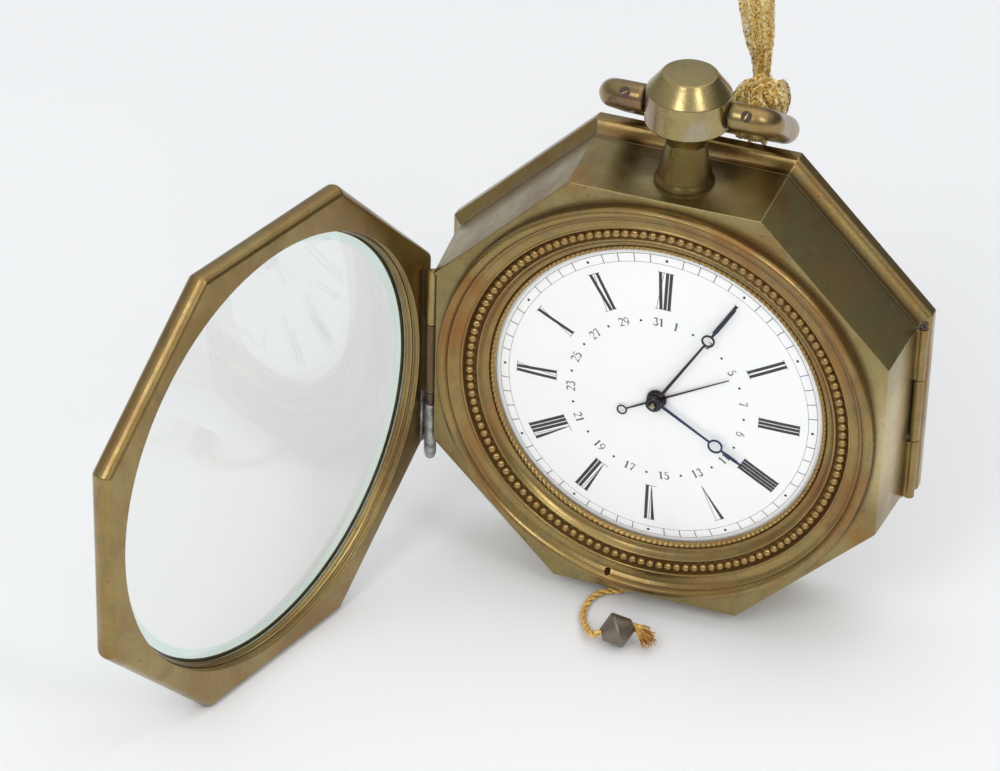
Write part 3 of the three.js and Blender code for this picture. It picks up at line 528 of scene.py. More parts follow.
def glass(name, tint):
    """Clear glass that lets light through to what stands behind it."""
    g = paint(name)
    place = g.coordinates()
    smears = g.noise(place, 55.0, 4.0, 0.6, 1.5)
    scratches = g.noise(g.scaled(place, (60, 60, 2200)), 1.0, 2.0)
    roughness = g.add(g.ramp(smears, 0.55, 0.8, 0.0, 0.05), g.ramp(scratches, 0.7, 0.8, 0.0, 0.03))
    solid = g.node(
        "BsdfPrincipled", {"Base Color": tint, "Roughness": roughness, "Transmission Weight": 1.0, "IOR": 1.5}
    ).outputs[0]
    clear = g.node("BsdfTransparent", {"Color": tuple(0.94 * c for c in tint)}).outputs[0]
    path = g.node("LightPath").outputs
    shadow = g.math("MAXIMUM", path["Is Shadow Ray"], path["Is Diffuse Ray"])
    mixed = g.node("MixShader", {0: shadow, 1: solid, 2: clear}).outputs[0]
    return g.surface(mixed)


def bevel_glass():
    """Polished glass edge: a green tint, with the sky's reflection where it is seen at a slant."""
    g = paint("bevel_glass")
    place = g.coordinates()
    tone = g.mix(g.ramp(g.noise(place, 45.0, 3.0), 0.35, 0.65), (0.74, 0.84, 0.79), (0.81, 0.9, 0.86))
    clear = g.node("BsdfTransparent", {"Color": tone}).outputs[0]
    scratches = g.noise(g.scaled(place, (60, 60, 2200)), 1.0, 2.0)
    gloss = g.node(
        "BsdfPrincipled", {"Base Color": (0.95, 1.0, 0.98), "Metallic": 1.0,
        "Roughness": g.ramp(scratches, 0.6, 0.8, 0.03, 0.12)}
    ).outputs[0]
    outside = g.math("SUBTRACT", 1.0, g.node("NewGeometry").outputs["Backfacing"])
    slant = g.multiply(g.node("Fresnel", {"IOR": 1.5}).outputs[0], outside)
    return g.surface(g.node("MixShader", {0: slant, 1: clear, 2: gloss}).outputs[0])


def ground_glass():
    """The frosted rim of the pane, where it meets its ring."""
    g = paint("ground_glass")
    grit = g.noise(g.coordinates(), 900.0, 3.0)
    colour = g.mix(g.ramp(grit, 0.4, 0.65), (0.62, 0.7, 0.66), (0.82, 0.88, 0.85))
    return g.principled({
        "Base Color": colour, "Roughness": 0.5, "Transmission Weight": 0.35,
        "Normal": g.bump(grit, 0.00005, 0.5)
    })


def thread(name, light, dark, scale, sheen):
    """Silk thread, with painted shade where strands meet."""
    g = paint(name)
    place = g.coordinates()
    fibre = g.noise(place, scale, 3.0, 0.6)
    broad = g.noise(place, 180.0, 3.0)
    colour = g.mix(g.ramp(fibre, 0.3, 0.7), dark, light)
    colour = g.mix(g.ramp(broad, 0.45, 0.7, 0.0, 0.35), colour, dark)
    # Painted shade: darkened where the surroundings hide the point, in the grooves between strands.
    colour = g.mix(g.ramp(g.hidden(0.0011, 6), 0.8, 0.45, 0.0, 0.9), colour, tuple(0.3 * c for c in dark))
    normal = g.bump(fibre, 0.00012, 0.9)
    return g.principled({
        "Base Color": colour, "Roughness": 0.55, "Normal": normal, "Sheen Weight": sheen,
        "Sheen Roughness": 0.4, "Sheen Tint": (1.0, 0.85, 0.5)
    })


def glitter_mesh():
    """Open gold mesh: painted bright and dark glints between small holes."""
    g = paint("gold_mesh")
    place = g.coordinates()
    cells = g.node("TexVoronoi", {"Vector": place, "Scale": 1500.0}, feature="DISTANCE_TO_EDGE").outputs[0]
    grains = g.node("TexVoronoi", {"Vector": place, "Scale": 2100.0})
    tone = g.node("SeparateColor", {0: grains.outputs["Color"]}).outputs
    colour = g.mix(tone[0], (0.78, 0.52, 0.13), (1.0, 0.83, 0.4))
    # Painted shade and painted highlights: rare grains are darkened and rarer ones turned near white, as
    # glints.
    colour = g.mix(g.ramp(tone[1], 0.78, 0.9), colour, (0.36, 0.19, 0.035))
    colour = g.mix(g.ramp(tone[2], 0.86, 0.95), colour, (1.0, 0.92, 0.62))
    normal = g.bump(g.noise(place, 2600.0, 2.0), 0.0004, 1.0)
    shader = g.node(
        "BsdfPrincipled", {"Base Color": colour, "Roughness": 0.33, "Metallic": 0.75, "Normal": normal,
        "Specular IOR Level": 0.8}
    ).outputs[0]
    holes = g.ramp(cells, 0.2, 0.27)
    clear = g.node("BsdfTransparent").outputs[0]
    mixed = g.node("MixShader", {0: g.multiply(holes, 0.6), 1: shader, 2: clear}).outputs[0]
    return g.surface(mixed)


def solder_metal():
    """Lumpy grey solder."""
    g = paint("soft_solder")
    place = g.coordinates()
    lumps = g.noise(place, 420.0, 4.0, 0.6, 0.8)
    colour = g.mix(g.ramp(lumps, 0.4, 0.7), (0.46, 0.46, 0.47), (0.17, 0.16, 0.15))
    normal = g.bump(lumps, 0.0005, 0.8)
    return g.principled({"Base Color": colour, "Metallic": 0.85, "Roughness": 0.42, "Normal": normal})


RUST_RED = (0.42, 0.17, 0.06)
ORANGE_BROWN = (0.3, 0.125, 0.03)
DARK_FILM = (0.075, 0.052, 0.024)
CASE_BRASS = brass(
    "case_brass", grain="brushed_x", seed=0.0, base=(0.31, 0.25, 0.1), rough=0.35, marks=1.0, tarnish=0.5,
    stains_and_lit_patches=(((10.5, 5.8, 60.6), 1.5, RUST_RED, 0.9), ((-9, 15, 60.9), 9, DARK_FILM, 0.7),
    ((9, 19, 60.9), 10, DARK_FILM, 0.8), ((27, 12, 60.9), 7, ORANGE_BROWN, 0.5),
    # Of these, the broad pale patch at (61, 9, 2) on the right flat is a painted reflection; the others are
    # stains.
    ((61, 9, 2), 26, (0.62, 0.5, 0.27), 0.85), ((61, 17, -24), 8, ORANGE_BROWN, 0.6),
    ((56, 2, -27), 7, ORANGE_BROWN, 0.6), ((-24, 3, 60), 7, ORANGE_BROWN, 0.5))
)
FRONT_BRASS = brass(
    "bezel_brass", base=(0.32, 0.225, 0.078), brown=(0.29, 0.125, 0.034), grain="turned", marks=0.9, seed=0.3,
    rough=0.3, tarnish=0.8, verdigris=0.5, dirt_and_shade=0.7, grime_and_shade=(0.2, 0.1, 0.032),
    stains_and_lit_patches=(((-54, -2, 12), 12, ORANGE_BROWN, 0.7), ((-50, -1, 24), 7, ORANGE_BROWN, 0.6),
    ((47, 1, 22), 10, ORANGE_BROWN, 0.5), ((4, -2, -56), 15, (0.15, 0.095, 0.03), 0.6))
)
DOOR_BRASS = brass(
    "door_brass", base=(0.325, 0.235, 0.082), grain="brushed_z", seed=0.7, rough=0.32, tarnish=0.6, pits=0.8
)
COVER_BRASS = brass(
    "cover_brass", base=(0.31, 0.22, 0.078), brown=(0.22, 0.1, 0.03), grain="brushed_x", seed=1.1, rough=0.3,
    tarnish=0.6
)
KNOB_BRASS = brass(
    "pendant_brass", base=(0.37, 0.285, 0.115), brown=(0.28, 0.16, 0.07), grain="turned_pendant", marks=0.9,
    seed=1.6, rough=0.24, tarnish=0.5, pits=0.3, wear=0.3,
    stains_and_lit_patches=(((-8, 2, 82), 8, (0.3, 0.22, 0.19), 0.6), ((8, 1, 80), 6, (0.36, 0.33, 0.26), 0.6))
)
STEM_BRASS = brass(
    "stem_brass", base=(0.145, 0.108, 0.022), brown=(0.16, 0.085, 0.02), grain="turned_pendant", marks=0.7,
    seed=5.1, rough=0.26, stains_and_lit_patches=(((-4, 7, 62), 6, ORANGE_BROWN, 0.6), ((-6, 6, 70), 6, DARK_FILM, 0.5))
)
BOW_BRASS = brass(
    "bow_brass", base=(0.33, 0.25, 0.1), grain="brushed_x", seed=2.2, rough=0.26, tarnish=0.55, pits=0.4,
    stains_and_lit_patches=(((-14, 9, 80), 8, (0.15, 0.085, 0.06), 0.65),)
)
HINGE_BRASS = brass(
    "hinge_brass", base=(0.46, 0.345, 0.135), grain="brushed_z", seed=2.9, rough=0.3, tarnish=0.5
)
DARK_BRASS = brass(
    "hinge_dark_brass", base=(0.2, 0.135, 0.065), brown=(0.11, 0.07, 0.035), grain="brushed_z", seed=3.4,
    rough=0.42
)
BEAD_BRASS = brass(
    "bead_brass", base=(0.42, 0.28, 0.095), brown=(0.3, 0.14, 0.04), grain="turned", marks=0.2, seed=4.0,
    rough=0.27, tarnish=0.4, dirt_and_shade=0.5, grime_and_shade=(0.26, 0.13, 0.04)
)
GILT = plain_metal("movement_gilt", (0.62, 0.47, 0.2), 0.34, (0.38, 0.26, 0.1), "brushed_y", 0.35)
GREY_BRASS = plain_metal("arbor_brass", (0.4, 0.35, 0.26), 0.32, (0.2, 0.16, 0.1), "brushed_y", 0.4)
STEEL = plain_metal("bright_steel", (0.42, 0.42, 0.43), 0.28, (0.2, 0.17, 0.14), "brushed_z", 0.35)
RUSTY = plain_metal("rusty_steel", (0.16, 0.12, 0.1), 0.5, (0.1, 0.05, 0.03), "brushed_z", 0.8)
BLUED = plain_metal(
    "blued_steel", (0.055, 0.062, 0.08), 0.24, (0.04, 0.032, 0.03), "brushed_x", 0.4, (0.062, 0.05, 0.046)
)
BLUE = plain_metal("bright_blued_steel", (0.05, 0.06, 0.12), 0.22, (0.04, 0.042, 0.05), "brushed_x", 0.4)
SCREW = plain_metal("screw_steel", (0.1, 0.072, 0.062), 0.42, (0.05, 0.03, 0.024), "brushed_x", 0.6)
BRONZE = plain_metal("bead_bronze", (0.25, 0.215, 0.17), 0.32, (0.14, 0.115, 0.085), "brushed_z", 0.5)
ENAMEL = enamel()
INK = ink("dial_ink", (0.022, 0.022, 0.026))
SOFT_INK = ink("calendar_ink", (0.075, 0.075, 0.08))
FAINT = ink("dial_crack", (0.74, 0.73, 0.7))
GLASS = glass("pane_glass", (0.968, 0.974, 0.962))
GLASS_EDGE = bevel_glass()
GLASS_RIM = ground_glass()
CORD = thread("cord_thread", (1.0, 0.7, 0.2), (0.42, 0.19, 0.03), 2400.0, 0.15)
FRAY = thread("frayed_thread", (0.95, 0.68, 0.18), (0.7, 0.38, 0.06), 1800.0, 0.5)
FRAY_TIP = thread("frayed_tip", (0.75, 0.34, 0.05), (0.4, 0.14, 0.02), 1800.0, 0.3)
MESH_GOLD = glitter_mesh()
SOLDER = solder_metal()


# ------------------------------------------------------------------ case body and rear cover
def cut(ob, verts, faces, name, place=in_case):
    """Takes a closed shape out of a piece for good."""
    mesh = bpy.data.meshes.new(name)
    mesh.from_pydata([place(v) for v in verts], [], faces)
    face_out(mesh)
    tool = linked(name, mesh)
    modifier = ob.modifiers.new(name, "BOOLEAN")
    modifier.object, modifier.operation, modifier.solver = tool, "DIFFERENCE", "EXACT"
    bpy.context.view_layer.update()
    cut_mesh = bpy.data.meshes.new_from_object(ob.evaluated_get(bpy.context.evaluated_depsgraph_get()))
    ob.modifiers.clear()
    ob.data = cut_mesh
    ob.data.set_sharp_from_angle(angle=32 * DEG)
    bpy.data.objects.remove(tool)


def half_round(radius, height, centre, steps):
    """The profile of a ball, or of one flattened to a height, from pole to pole."""
    angles = [t * math.pi / steps for t in range(steps + 1)]
    arc = [(radius * math.sin(a), centre - height * math.cos(a)) for a in angles]
    arc[0], arc[-1] = (0, arc[0][1]), (0, arc[-1][1])
    return arc


case = Build().add(*shell(
    mixed_profile([("o", [(59, 0), (60, 0), (61.5, 21.5), (58.9, 21.5), (58.4, 14)]),
    ("o", [(57.9, 3.6), (57.7, 3)]), ("c", [(57.65, 2.9), (57.65, 0.05), (57.9, 0)])], 0.35), closed=True,
    corner=0.5
))
case_body = piece("case_shell", case, "case", [CASE_BRASS], ["case_body"])
NOTCH_LOW, NOTCH_TOP = -34.6, 24.7
notch_profile = [(0, NOTCH_LOW), (1.75, NOTCH_LOW), (1.75, NOTCH_TOP), (0, NOTCH_TOP)]
notch = upright(notch_profile, DOOR_X, DOOR_Y, 32)
cut(case_body, *notch, "hinge_notch")
rebate = ((-64, -1), (-58.95, -1), (-58.95, 2), (-64, 2))
corners = [(x, y, z) for z in (NOTCH_LOW, NOTCH_TOP) for x, y in rebate]
BOX_FACES = [(0, 1, 2, 3), (4, 5, 6, 7), (0, 1, 5, 4), (1, 2, 6, 5), (2, 3, 7, 6), (3, 0, 4, 7)]
cut(case_body, corners, BOX_FACES, "hinge_rebate")
cord_hole = upright([(0, -64), (2.1, -64), (2.1, -50), (0, -50)], -4.5, 6.9, 32)
cut(case_body, *cord_hole, "cord_hole")

cover = Build().add(*shell(
    [("c", 0, 27.5), ("c", 20, 27.5), ("c", 45, 27.5)]
    + mixed_profile([("o", [(52, 27.5), (59.6, 27.5), (59.6, 21.58), (61.4, 21.58), (61.42, 22.2),
    (61.46, 22.9), (61.6, 23.5), (62.0, 24.2), (62.6, 24.9), (63.15, 25.4), (63.6, 25.7), (64, 26.3),
    (64, 29.1), (63.6, 29.5), (58, 29.5)])], 0.22) + [("c", 45, 29.5), ("c", 20, 29.5), ("c", 0, 29.5)],
    closed=False, corner=0.6
))
piece("rear_cover_shell", cover, "back_cover", [COVER_BRASS], ["rear_cover"])


# ------------------------------------------------------------------ front bezel, beads and milling
bezel_profile = rounded(
    [(43.7, 3.5), (43.7, 3.15), (45.0, 3.12), (45.05, 2.2), (45.25, 2.05), (45.8, 1.9), (46.35, 1.6),
    (46.8, 1.15), (47.15, 0.6), (47.4, 0.2), (47.6, 0.1), (47.8, 0.2), (48.05, 0.6), (48.35, 0.95),
    (50.75, 0.95), (51.05, 0.45), (51.3, -0.5), (51.5, -0.72), (51.8, -0.72), (52.0, -0.5), (52.9, -0.62),
    (54.0, -1.05), (54.85, -1.75), (55.0, -1.75), (55.15, -1.6), (55.35, -2.15), (55.75, -2.65),
    (56.3, -2.96), (56.85, -3.02), (57.4, -2.8), (57.8, -2.35), (58.0, -1.7), (58.0, -0.12), (57.5, -0.05),
    (57.5, 5.2), (45, 5.2), (45, 3.5)], 0.1, 2, closed=True
)
bezel = Build().add(*lathe(bezel_profile, 384, closed=True))
front_bezel = piece("bezel_turned", bezel, "case", [FRONT_BRASS], ["front_bezel"], sharp=28)
pin_hole = lathe([(0, -4), (0.85, -4), (0.85, 1), (0, 1)], 20, centre=(-9.7, -53.8))
cut(front_bezel, *pin_hole, "bezel_pin_hole")

BEAD_COUNT, BEAD_CIRCLE = 129, 49.65
beads = Build()
for i in range(BEAD_COUNT):
    angle = 2 * math.pi * i / BEAD_COUNT
    cx, cz = BEAD_CIRCLE * math.sin(angle), BEAD_CIRCLE * math.cos(angle)
    beads.add(*lathe(half_round(1.19, 1.15, 0.42, 8), 16, centre=(cx, cz)))
beads.add(*lathe([(49.2, 1.0), (50.6, 1.0), (50.6, 1.6), (49.2, 1.6)], 144, closed=True))
piece("bezel_beads", beads, "case", [BEAD_BRASS], ["bead_ring"], sharp=60)

TOOTH_COUNT, TOOTH_STEPS = 186, 8
milling_rings = []
ROPE = [
    (43.55, 3.1, 0.0), (43.6, 2.75, 0.2), (43.75, 2.35, 0.42), (44.0, 2.05, 0.55), (44.3, 1.93, 0.6),
    (44.6, 2.05, 0.55), (44.82, 2.35, 0.42), (44.93, 2.75, 0.2), (44.95, 3.1, 0.0)
]
for step, (r, y, lift) in enumerate(ROPE):
    ring = []
    for k in range(TOOTH_COUNT * TOOTH_STEPS):
        a = 2 * math.pi * k / (TOOTH_COUNT * TOOTH_STEPS)
        wave = abs(math.sin(math.pi * (k / TOOTH_STEPS + 0.09 * step))) ** 0.7
        ring.append((r * math.sin(a), y + lift * (0.75 - wave), r * math.cos(a)))
    milling_rings.append(ring)
milling = Build().add(*skin(milling_rings, closed=True))
piece("dial_milling", milling, "case", [BEAD_BRASS], ["milled_ring"], sharp=80)


# ------------------------------------------------------------------ dial and its figures
def dome(r):
    """Depth of the dial's front at a radius."""
    if r < 34:
        return 2.5 + 0.3 * (r / 34) ** 2
    if r < 41:
        return 2.8 + 0.3 * (r - 34) / 7 + 0.02
    return 3.12 + 1.08 * ((r - 41) / 3.4) ** 1.6


dial_profile = [(2.62, 3.5), (2.6, 2.62), (2.75, 2.5)]
dial_profile += [(r, dome(r)) for r in [4, 8, 14, 20, 26, 30, 34, 36, 38, 40, 41, 41.8, 42.5, 43.2, 43.8]]
dial_profile += [(44.3, 4.15), (44.35, 4.7), (40, 4.5), (20, 3.7)]
dial = Build().add(*lathe(dial_profile, 256, closed=True))
piece("dial_enamel", dial, "case", [ENAMEL], ["dial"], sharp=50)

DIAL_TURN = 0.9
PRINT_LIFT = 0.02


def printed(build, quads, mat=0):
    """Adds flat quads of (x, z) to the dial's domed front."""
    for quad in quads:
        verts = [(x, dome(math.hypot(x, z)) - PRINT_LIFT, z) for x, z in quad]
        build.add(verts, [tuple(range(len(quad)))], mat)


def bar(a, b, wa, wb=None, pieces=5):
    """A stroke from a to b, as quads, with its width at each end."""
    wb = wa if wb is None else wb
    (ax, ay), (bx, by) = a, b
    length = math.hypot(bx - ax, by - ay)
    nx, ny = -(by - ay) / length, (bx - ax) / length
    quads = []
    for k in range(pieces):
        t0, t1 = k / pieces, (k + 1) / pieces
        w0, w1 = (wa + (wb - wa) * t0) / 2, (wa + (wb - wa) * t1) / 2
        (x0, y0), (x1, y1) = ((ax + (bx - ax) * t, ay + (by - ay) * t) for t in (t0, t1))
        ends = ((x0, y0, w0), (x0, y0, -w0), (x1, y1, -w1), (x1, y1, w1))
        quads.append([(x + nx * w, y + ny * w) for x, y, w in ends])
    return quads


def path_bars(points, widths):
    quads = []
    for i in range(len(points) - 1):
        quads += bar(points[i], points[i + 1], widths[i], widths[i + 1], 1)
    return quads


def around(quads, degrees, radius):
    """Stands figures on a circle, their tops outward."""
    return [[turned(x, y + radius, -degrees) for x, y in quad] for quad in quads]


NUMERAL_HEIGHT = 10.7
ROMAN = ["XII", "I", "II", "III", "IIII", "V", "VI", "VII", "VIII", "IX", "X", "XI"]


def roman(text):
    """Tall serif numerals: thick stems, hairlines, and one hairline serif along each end."""
    h = NUMERAL_HEIGHT
    hair, stem = 0.12, 0.84
    pitch = {"II": 1.3, "IIII": 0.95}.get(text, 1.05)
    widths = {"I": pitch, "V": 2.6 if text == "V" else 1.8, "X": 2.0}
    total = sum(widths[c] for c in text)
    x = -total / 2
    quads = []
    for c in text:
        if c == "I":
            quads += bar((x + pitch / 2, 0), (x + pitch / 2, h), stem)
        elif c == "V":
            apex, reach = (1.35, 2.3) if text == "V" else (1.2, 1.5)
            quads += bar((x + 0.42, h), (x + apex, 0), stem * 1.1, 0.12)
            quads += bar((x + apex, 0.1), (x + reach, h), hair)
        else:
            quads += bar((x + 0.62, h), (x + 1.5, 0), stem)
            quads += bar((x + 1.62, h), (x + 0.3, 0), hair)
        x += widths[c]
    reach = total / 2 + 0.18
    quads += bar((-reach, h), (reach, h), hair, pieces=1)
    if text != "V":
        quads += bar((-reach, 0), (reach, 0), hair, pieces=1)
    return quads


def arc_points(cx, cy, rx, ry, start, stop, steps=9):
    angles = [(start + (stop - start) * k / steps) * DEG for k in range(steps + 1)]
    return [(cx + rx * math.cos(a), cy + ry * math.sin(a)) for a in angles]


def swell(points, thin, thick):
    """Widths that swell towards the middle of a stroke."""
    n = len(points) - 1
    return [thin + (thick - thin) * max(0.0, 1 - abs(k / n - 0.5) * 2) for k in range(n + 1)]


def digit(c):
    """An old-style figure in a box 0.62 wide and 1 high."""
    thin, thick = 0.07, 0.19
    if c == "1":
        return (
            bar((0.31, 0.02), (0.31, 0.98), thick, pieces=1) + bar((0.31, 0.97), (0.12, 0.8), 0.07, thin, 1)
            + bar((0.14, 0.02), (0.48, 0.02), thin, pieces=1)
        )
    if c == "7":
        top = [(0.08, 0.8), (0.14, 0.95), (0.36, 0.93), (0.56, 0.98)]
        return path_bars(top, [thin, 0.12, 0.1, thin]) + bar((0.56, 0.98), (0.27, 0.0), thin, thick, 3)
    strokes = {
        "2": [(arc_points(0.3, 0.72, 0.23, 0.26, 170, -50), thick),
        ([(0.45, 0.52), (0.25, 0.28), (0.06, 0.04)], 0.07), ([(0.06, 0.04), (0.3, 0.1), (0.56, 0.02)], 0.14)],
        "3": [(arc_points(0.28, 0.76, 0.2, 0.22, 160, -80), thick),
        (arc_points(0.28, 0.28, 0.25, 0.27, 85, -165), thick)],
        "5": [([(0.17, 0.96), (0.14, 0.55)], 0.06), ([(0.17, 0.96), (0.34, 0.93), (0.5, 0.98)], 0.1),
        (arc_points(0.28, 0.31, 0.25, 0.3, 115, -160), thick)],
        "9": [(arc_points(0.3, 0.68, 0.24, 0.29, 0, 360, 14), 0.12),
        ([(0.54, 0.68), (0.52, 0.42), (0.4, 0.16), (0.16, 0.02)], 0.13)]
    }[c]
    quads = []
    for points, width in strokes:
        quads += path_bars(points, swell(points, thin, width))
    return quads


def figures(text, height):
    """A number's figures, in a row about the origin."""
    step = 0.66
    x = -step * len(text) / 2 + 0.02
    quads = []
    for c in text:
        quads += [[((px + x) * height, (py - 0.5) * height) for px, py in quad] for quad in digit(c)]
        x += step
    return quads


def circle_line(radius, width):
    quads = []
    inner, outer = radius - width / 2, radius + width / 2
    for k in range(360):
        a0, a1 = 2 * math.pi * k / 360, 2 * math.pi * (k + 1) / 360
        ends = ((inner, a0), (outer, a0), (outer, a1), (inner, a1))
        quads.append([(r * math.sin(a), r * math.cos(a)) for r, a in ends])
    return quads


def dot(degrees, radius, size):
    a = degrees * DEG
    cx, cz = radius * math.sin(a), radius * math.cos(a)
    ring = [(cx + size * math.cos(k * math.pi / 6), cz + size * math.sin(k * math.pi / 6)) for k in range(12)]
    return [ring]


TRACK = {"inner": 39.95, "outer": 42.25}
CALENDAR = {"radius": 23.1, "last": -1.4, "height": 2.3}
print_work = Build()
CALENDAR_INK = 1
printed(print_work, circle_line(TRACK["inner"], 0.09))
printed(print_work, circle_line(TRACK["outer"], 0.11))
for minute in range(60):
    degrees = 6 * minute + DIAL_TURN
    if minute % 5:
        tick = bar((0, TRACK["inner"]), (0, TRACK["outer"]), 0.2, pieces=3)
        printed(print_work, around(tick, degrees, 0))
    else:
        printed(print_work, dot(degrees, 41.05, 0.38))
for hour, text in enumerate(ROMAN):
    printed(print_work, around(roman(text), 30 * hour + DIAL_TURN, 27))
for day in range(1, 32):
    degrees = CALENDAR["last"] + (day - 31) * 360 / 31
    if day % 2:
        day_figures = figures(str(day), CALENDAR["height"])
        if 9 <= day <= 21:
            day_figures = [[(-x, -y) for x, y in quad] for quad in day_figures]
        printed(print_work, around(day_figures, degrees, CALENDAR["radius"]), CALENDAR_INK)
    else:
        printed(print_work, dot(degrees, CALENDAR["radius"], 0.35))
piece("dial_figures", print_work, "case", [INK, SOFT_INK], fix=False, sharp=80)

crack = Build()
crack_rng = random.Random(3)
point = (-0.6, -3.2)
line = [point]
for k in range(16):
    point = (point[0] + 0.05 + crack_rng.uniform(-0.25, 0.25), point[1] - 1.9 + crack_rng.uniform(-0.3, 0.3))
    line.append(point)
printed(crack, path_bars(line, [0.05] * len(line)))
piece("dial_hairline", crack, "case", [FAINT], fix=False, sharp=80)


# ------------------------------------------------------------------ hands
def flat_piece(corners, y0, y1, chamfer=0.08):
    """A flat outline of (x, z) given thickness, with its front edge chamfered."""
    centre = Vector((sum(c[0] for c in corners), sum(c[1] for c in corners))) / len(corners)
    n = len(corners)
    rings = []
    for y, inset in ((y1, 0.0), (y0 + chamfer, 0.0), (y0, chamfer)):
        ring = []
        for i in range(n):
            a, p, b = (Vector(corners[(i + k) % n]) for k in (-1, 0, 1))
            inward = (p - a).normalized() + (p - b).normalized()
            if inward.length < 1e-4:
                inward = Vector((-(b - a).y, (b - a).x))
            inward.normalize()
            if (centre - p).dot(inward) < 0:
                inward = -inward
            q = p + inward * inset
            ring.append((q.x, y, q.y))
        rings.append(ring)
    verts, faces = skin(rings, closed=False)
    faces.append(tuple(range(n)))
    faces.append(tuple(range(2 * n, 3 * n)))
    return verts, faces


def turned_hand(parts, degrees):
    """The parts of a hand that points up, turned clockwise to where it points."""
    build = Build()
    for verts, faces in parts:
        placed = [(turned(x, z, -degrees), y) for x, y, z in verts]
        build.add([(x, y, z) for (x, z), y in placed], faces)
    return build


def washer(radius, hole, y0, y1, z, soft, steps, n):
    profile = rounded([(hole, y0), (radius, y0), (radius, y1), (hole, y1)], soft, steps, closed=True)
    return lathe(profile, n, closed=True, centre=(0, z))


def ring_part(radius, hole, y0, y1, z):
    return washer(radius, hole, y0, y1, z, 0.1, 2, 40)


def boss_part(radius, hole, y0, y1):
    return washer(radius, hole, y0, y1, 0, 0.12, 3, 56)


def long_hand(ring_z, ring_r, hole, tip_z, y0, y1, root, neck, shoulder, tip):
    """A tapered leaf beyond a ring, and a shank from the boss to the ring."""
    under, over = ring_z - ring_r + 0.15, ring_z + ring_r - 0.1
    leaf = [
        (-neck, over), (neck, over), (shoulder, over + 2.2), (shoulder * 0.98, over + 4.5), (tip, tip_z),
        (-tip, tip_z), (-shoulder * 0.98, over + 4.5), (-shoulder, over + 2.2)
    ]
    return [
        flat_piece([(-root, 1.4), (root, 1.4), (neck, under), (-neck, under)], y0, y1),
        ring_part(ring_r, hole, y0, y1, ring_z), flat_piece(leaf, y0, y1)
    ]


minute_parts = long_hand(25.6, 1.78, 1.27, 38.2, 0.33, 0.7, 0.46, 0.28, 0.5, 0.38)
minute_parts.append(boss_part(2.15, 1.25, 0.3, 0.72))
piece("minute_hand_blued", turned_hand(minute_parts, 31), "centre", [BLUED], ["minute_hand"])
hour_parts = long_hand(19, 2.02, 1.53, 27.5, 1.03, 1.4, 0.4, 0.24, 0.43, 0.1)
hour_parts.append(boss_part(2.35, 1.7, 1.0, 1.42))
piece("hour_hand_blued", turned_hand(hour_parts, 120.2), "hour", [BLUE], ["hour_hand"])
date_parts = [
    flat_piece([(-0.26, 1.6), (0.26, 1.6), (0.1, 21.6), (-0.1, 21.6)], 1.78, 2.1, 0.06),
    flat_piece([(-0.16, -9.0), (0.16, -9.0), (0.3, -1.6), (-0.3, -1.6)], 1.78, 2.1, 0.06),
    ring_part(1.4, 1.02, 1.78, 2.1, -10.25), boss_part(2.5, 2.16, 1.75, 2.12)
]
piece("date_hand_blued", turned_hand(date_parts, 60.5), "calendar", [BLUED], ["date_hand"])
COLLET = [
    (1.0, -0.75), (1.75, -0.75), (2.1, -0.45), (2.1, -0.2), (1.8, -0.1), (2.2, 0.05), (2.2, 0.28), (1.0, 0.28)
]
collet = Build().add(*lathe(rounded(COLLET, 0.08, 2, True), 56, closed=True))
piece("hand_collet_blued", collet, "centre", [BLUED], ["hand_collet"])


# ------------------------------------------------------------------ pendant and bow
stem_profile = rounded(
    [(0, 59.4), (7.6, 59.4), (7.6, 61.3), (7.35, 61.8), (6.9, 62.6), (5.2, 70.6), (4.95, 71.7), (5.05, 72.4),
    (5.6, 74.0), (6.05, 75.2), (6.1, 77.2), (0, 77.2)], 0.25, 3
)
stem = Build().add(*upright(stem_profile, BOW_X, BOW_Y, 96))
piece("pendant_stem_turned", stem, "case", [STEM_BRASS], ["pendant_stem"])
knob_profile = rounded(
    [(0, 77.25), (10.1, 77.25), (10.7, 77.8), (10.7, 86.2), (6.85, 91.15), (0, 91.2)], 0.28, 4
)
knob = Build().add(*upright(knob_profile, BOW_X, BOW_Y, 128))
knob_ob = piece("pendant_knob_turned", knob, "case", [KNOB_BRASS], ["pendant_knob"], sharp=26)
bore = lathe([(0, -20), (1.9, -20), (1.9, 20), (0, 20)], 32)
bore = ([(BOW_X + y, BOW_Y + x, BOW_Z + z) for x, y, z in bore[0]], bore[1])
cut(knob_ob, *bore, "knob_bore")

BOW = {"tube": 3.6, "half": 20.3, "reach": 25, "start": 11.05, "near": 4.2, "far": 5.2}


def elbow(cx, cy, r, a0, a1):
    return arc_points(cx, cy, r, r, a0, a1, 10)


def bow_path():
    """The middle of the bow's rod, from one stub round to the other."""
    half, reach, start = BOW["half"], BOW["reach"], BOW["start"]
    near, far = BOW["near"], BOW["far"]
    pts = [(-start, 0), (-start - 0.3, 0), (-12.5, 0), (-14.3, 0)]
    pts += elbow(-half + near, near, near, 270, 180)
    pts += [(-half, y) for y in (8, 12, 16)]
    pts += elbow(-half + far, reach - far, far, 180, 90)
    pts += [(x, reach) for x in (-10, -5, 0, 5, 10)]
    pts += elbow(half - far, reach - far, far, 90, 0)
    pts += [(half, y) for y in (16, 12, 8)]
    pts += elbow(half - near, near, near, 360, 270)
    pts += [(14.3, 0), (12.5, 0), (start + 0.3, 0), (start, 0)]
    return [(BOW_X + x, BOW_Y + y, BOW_Z) for x, y in pts]


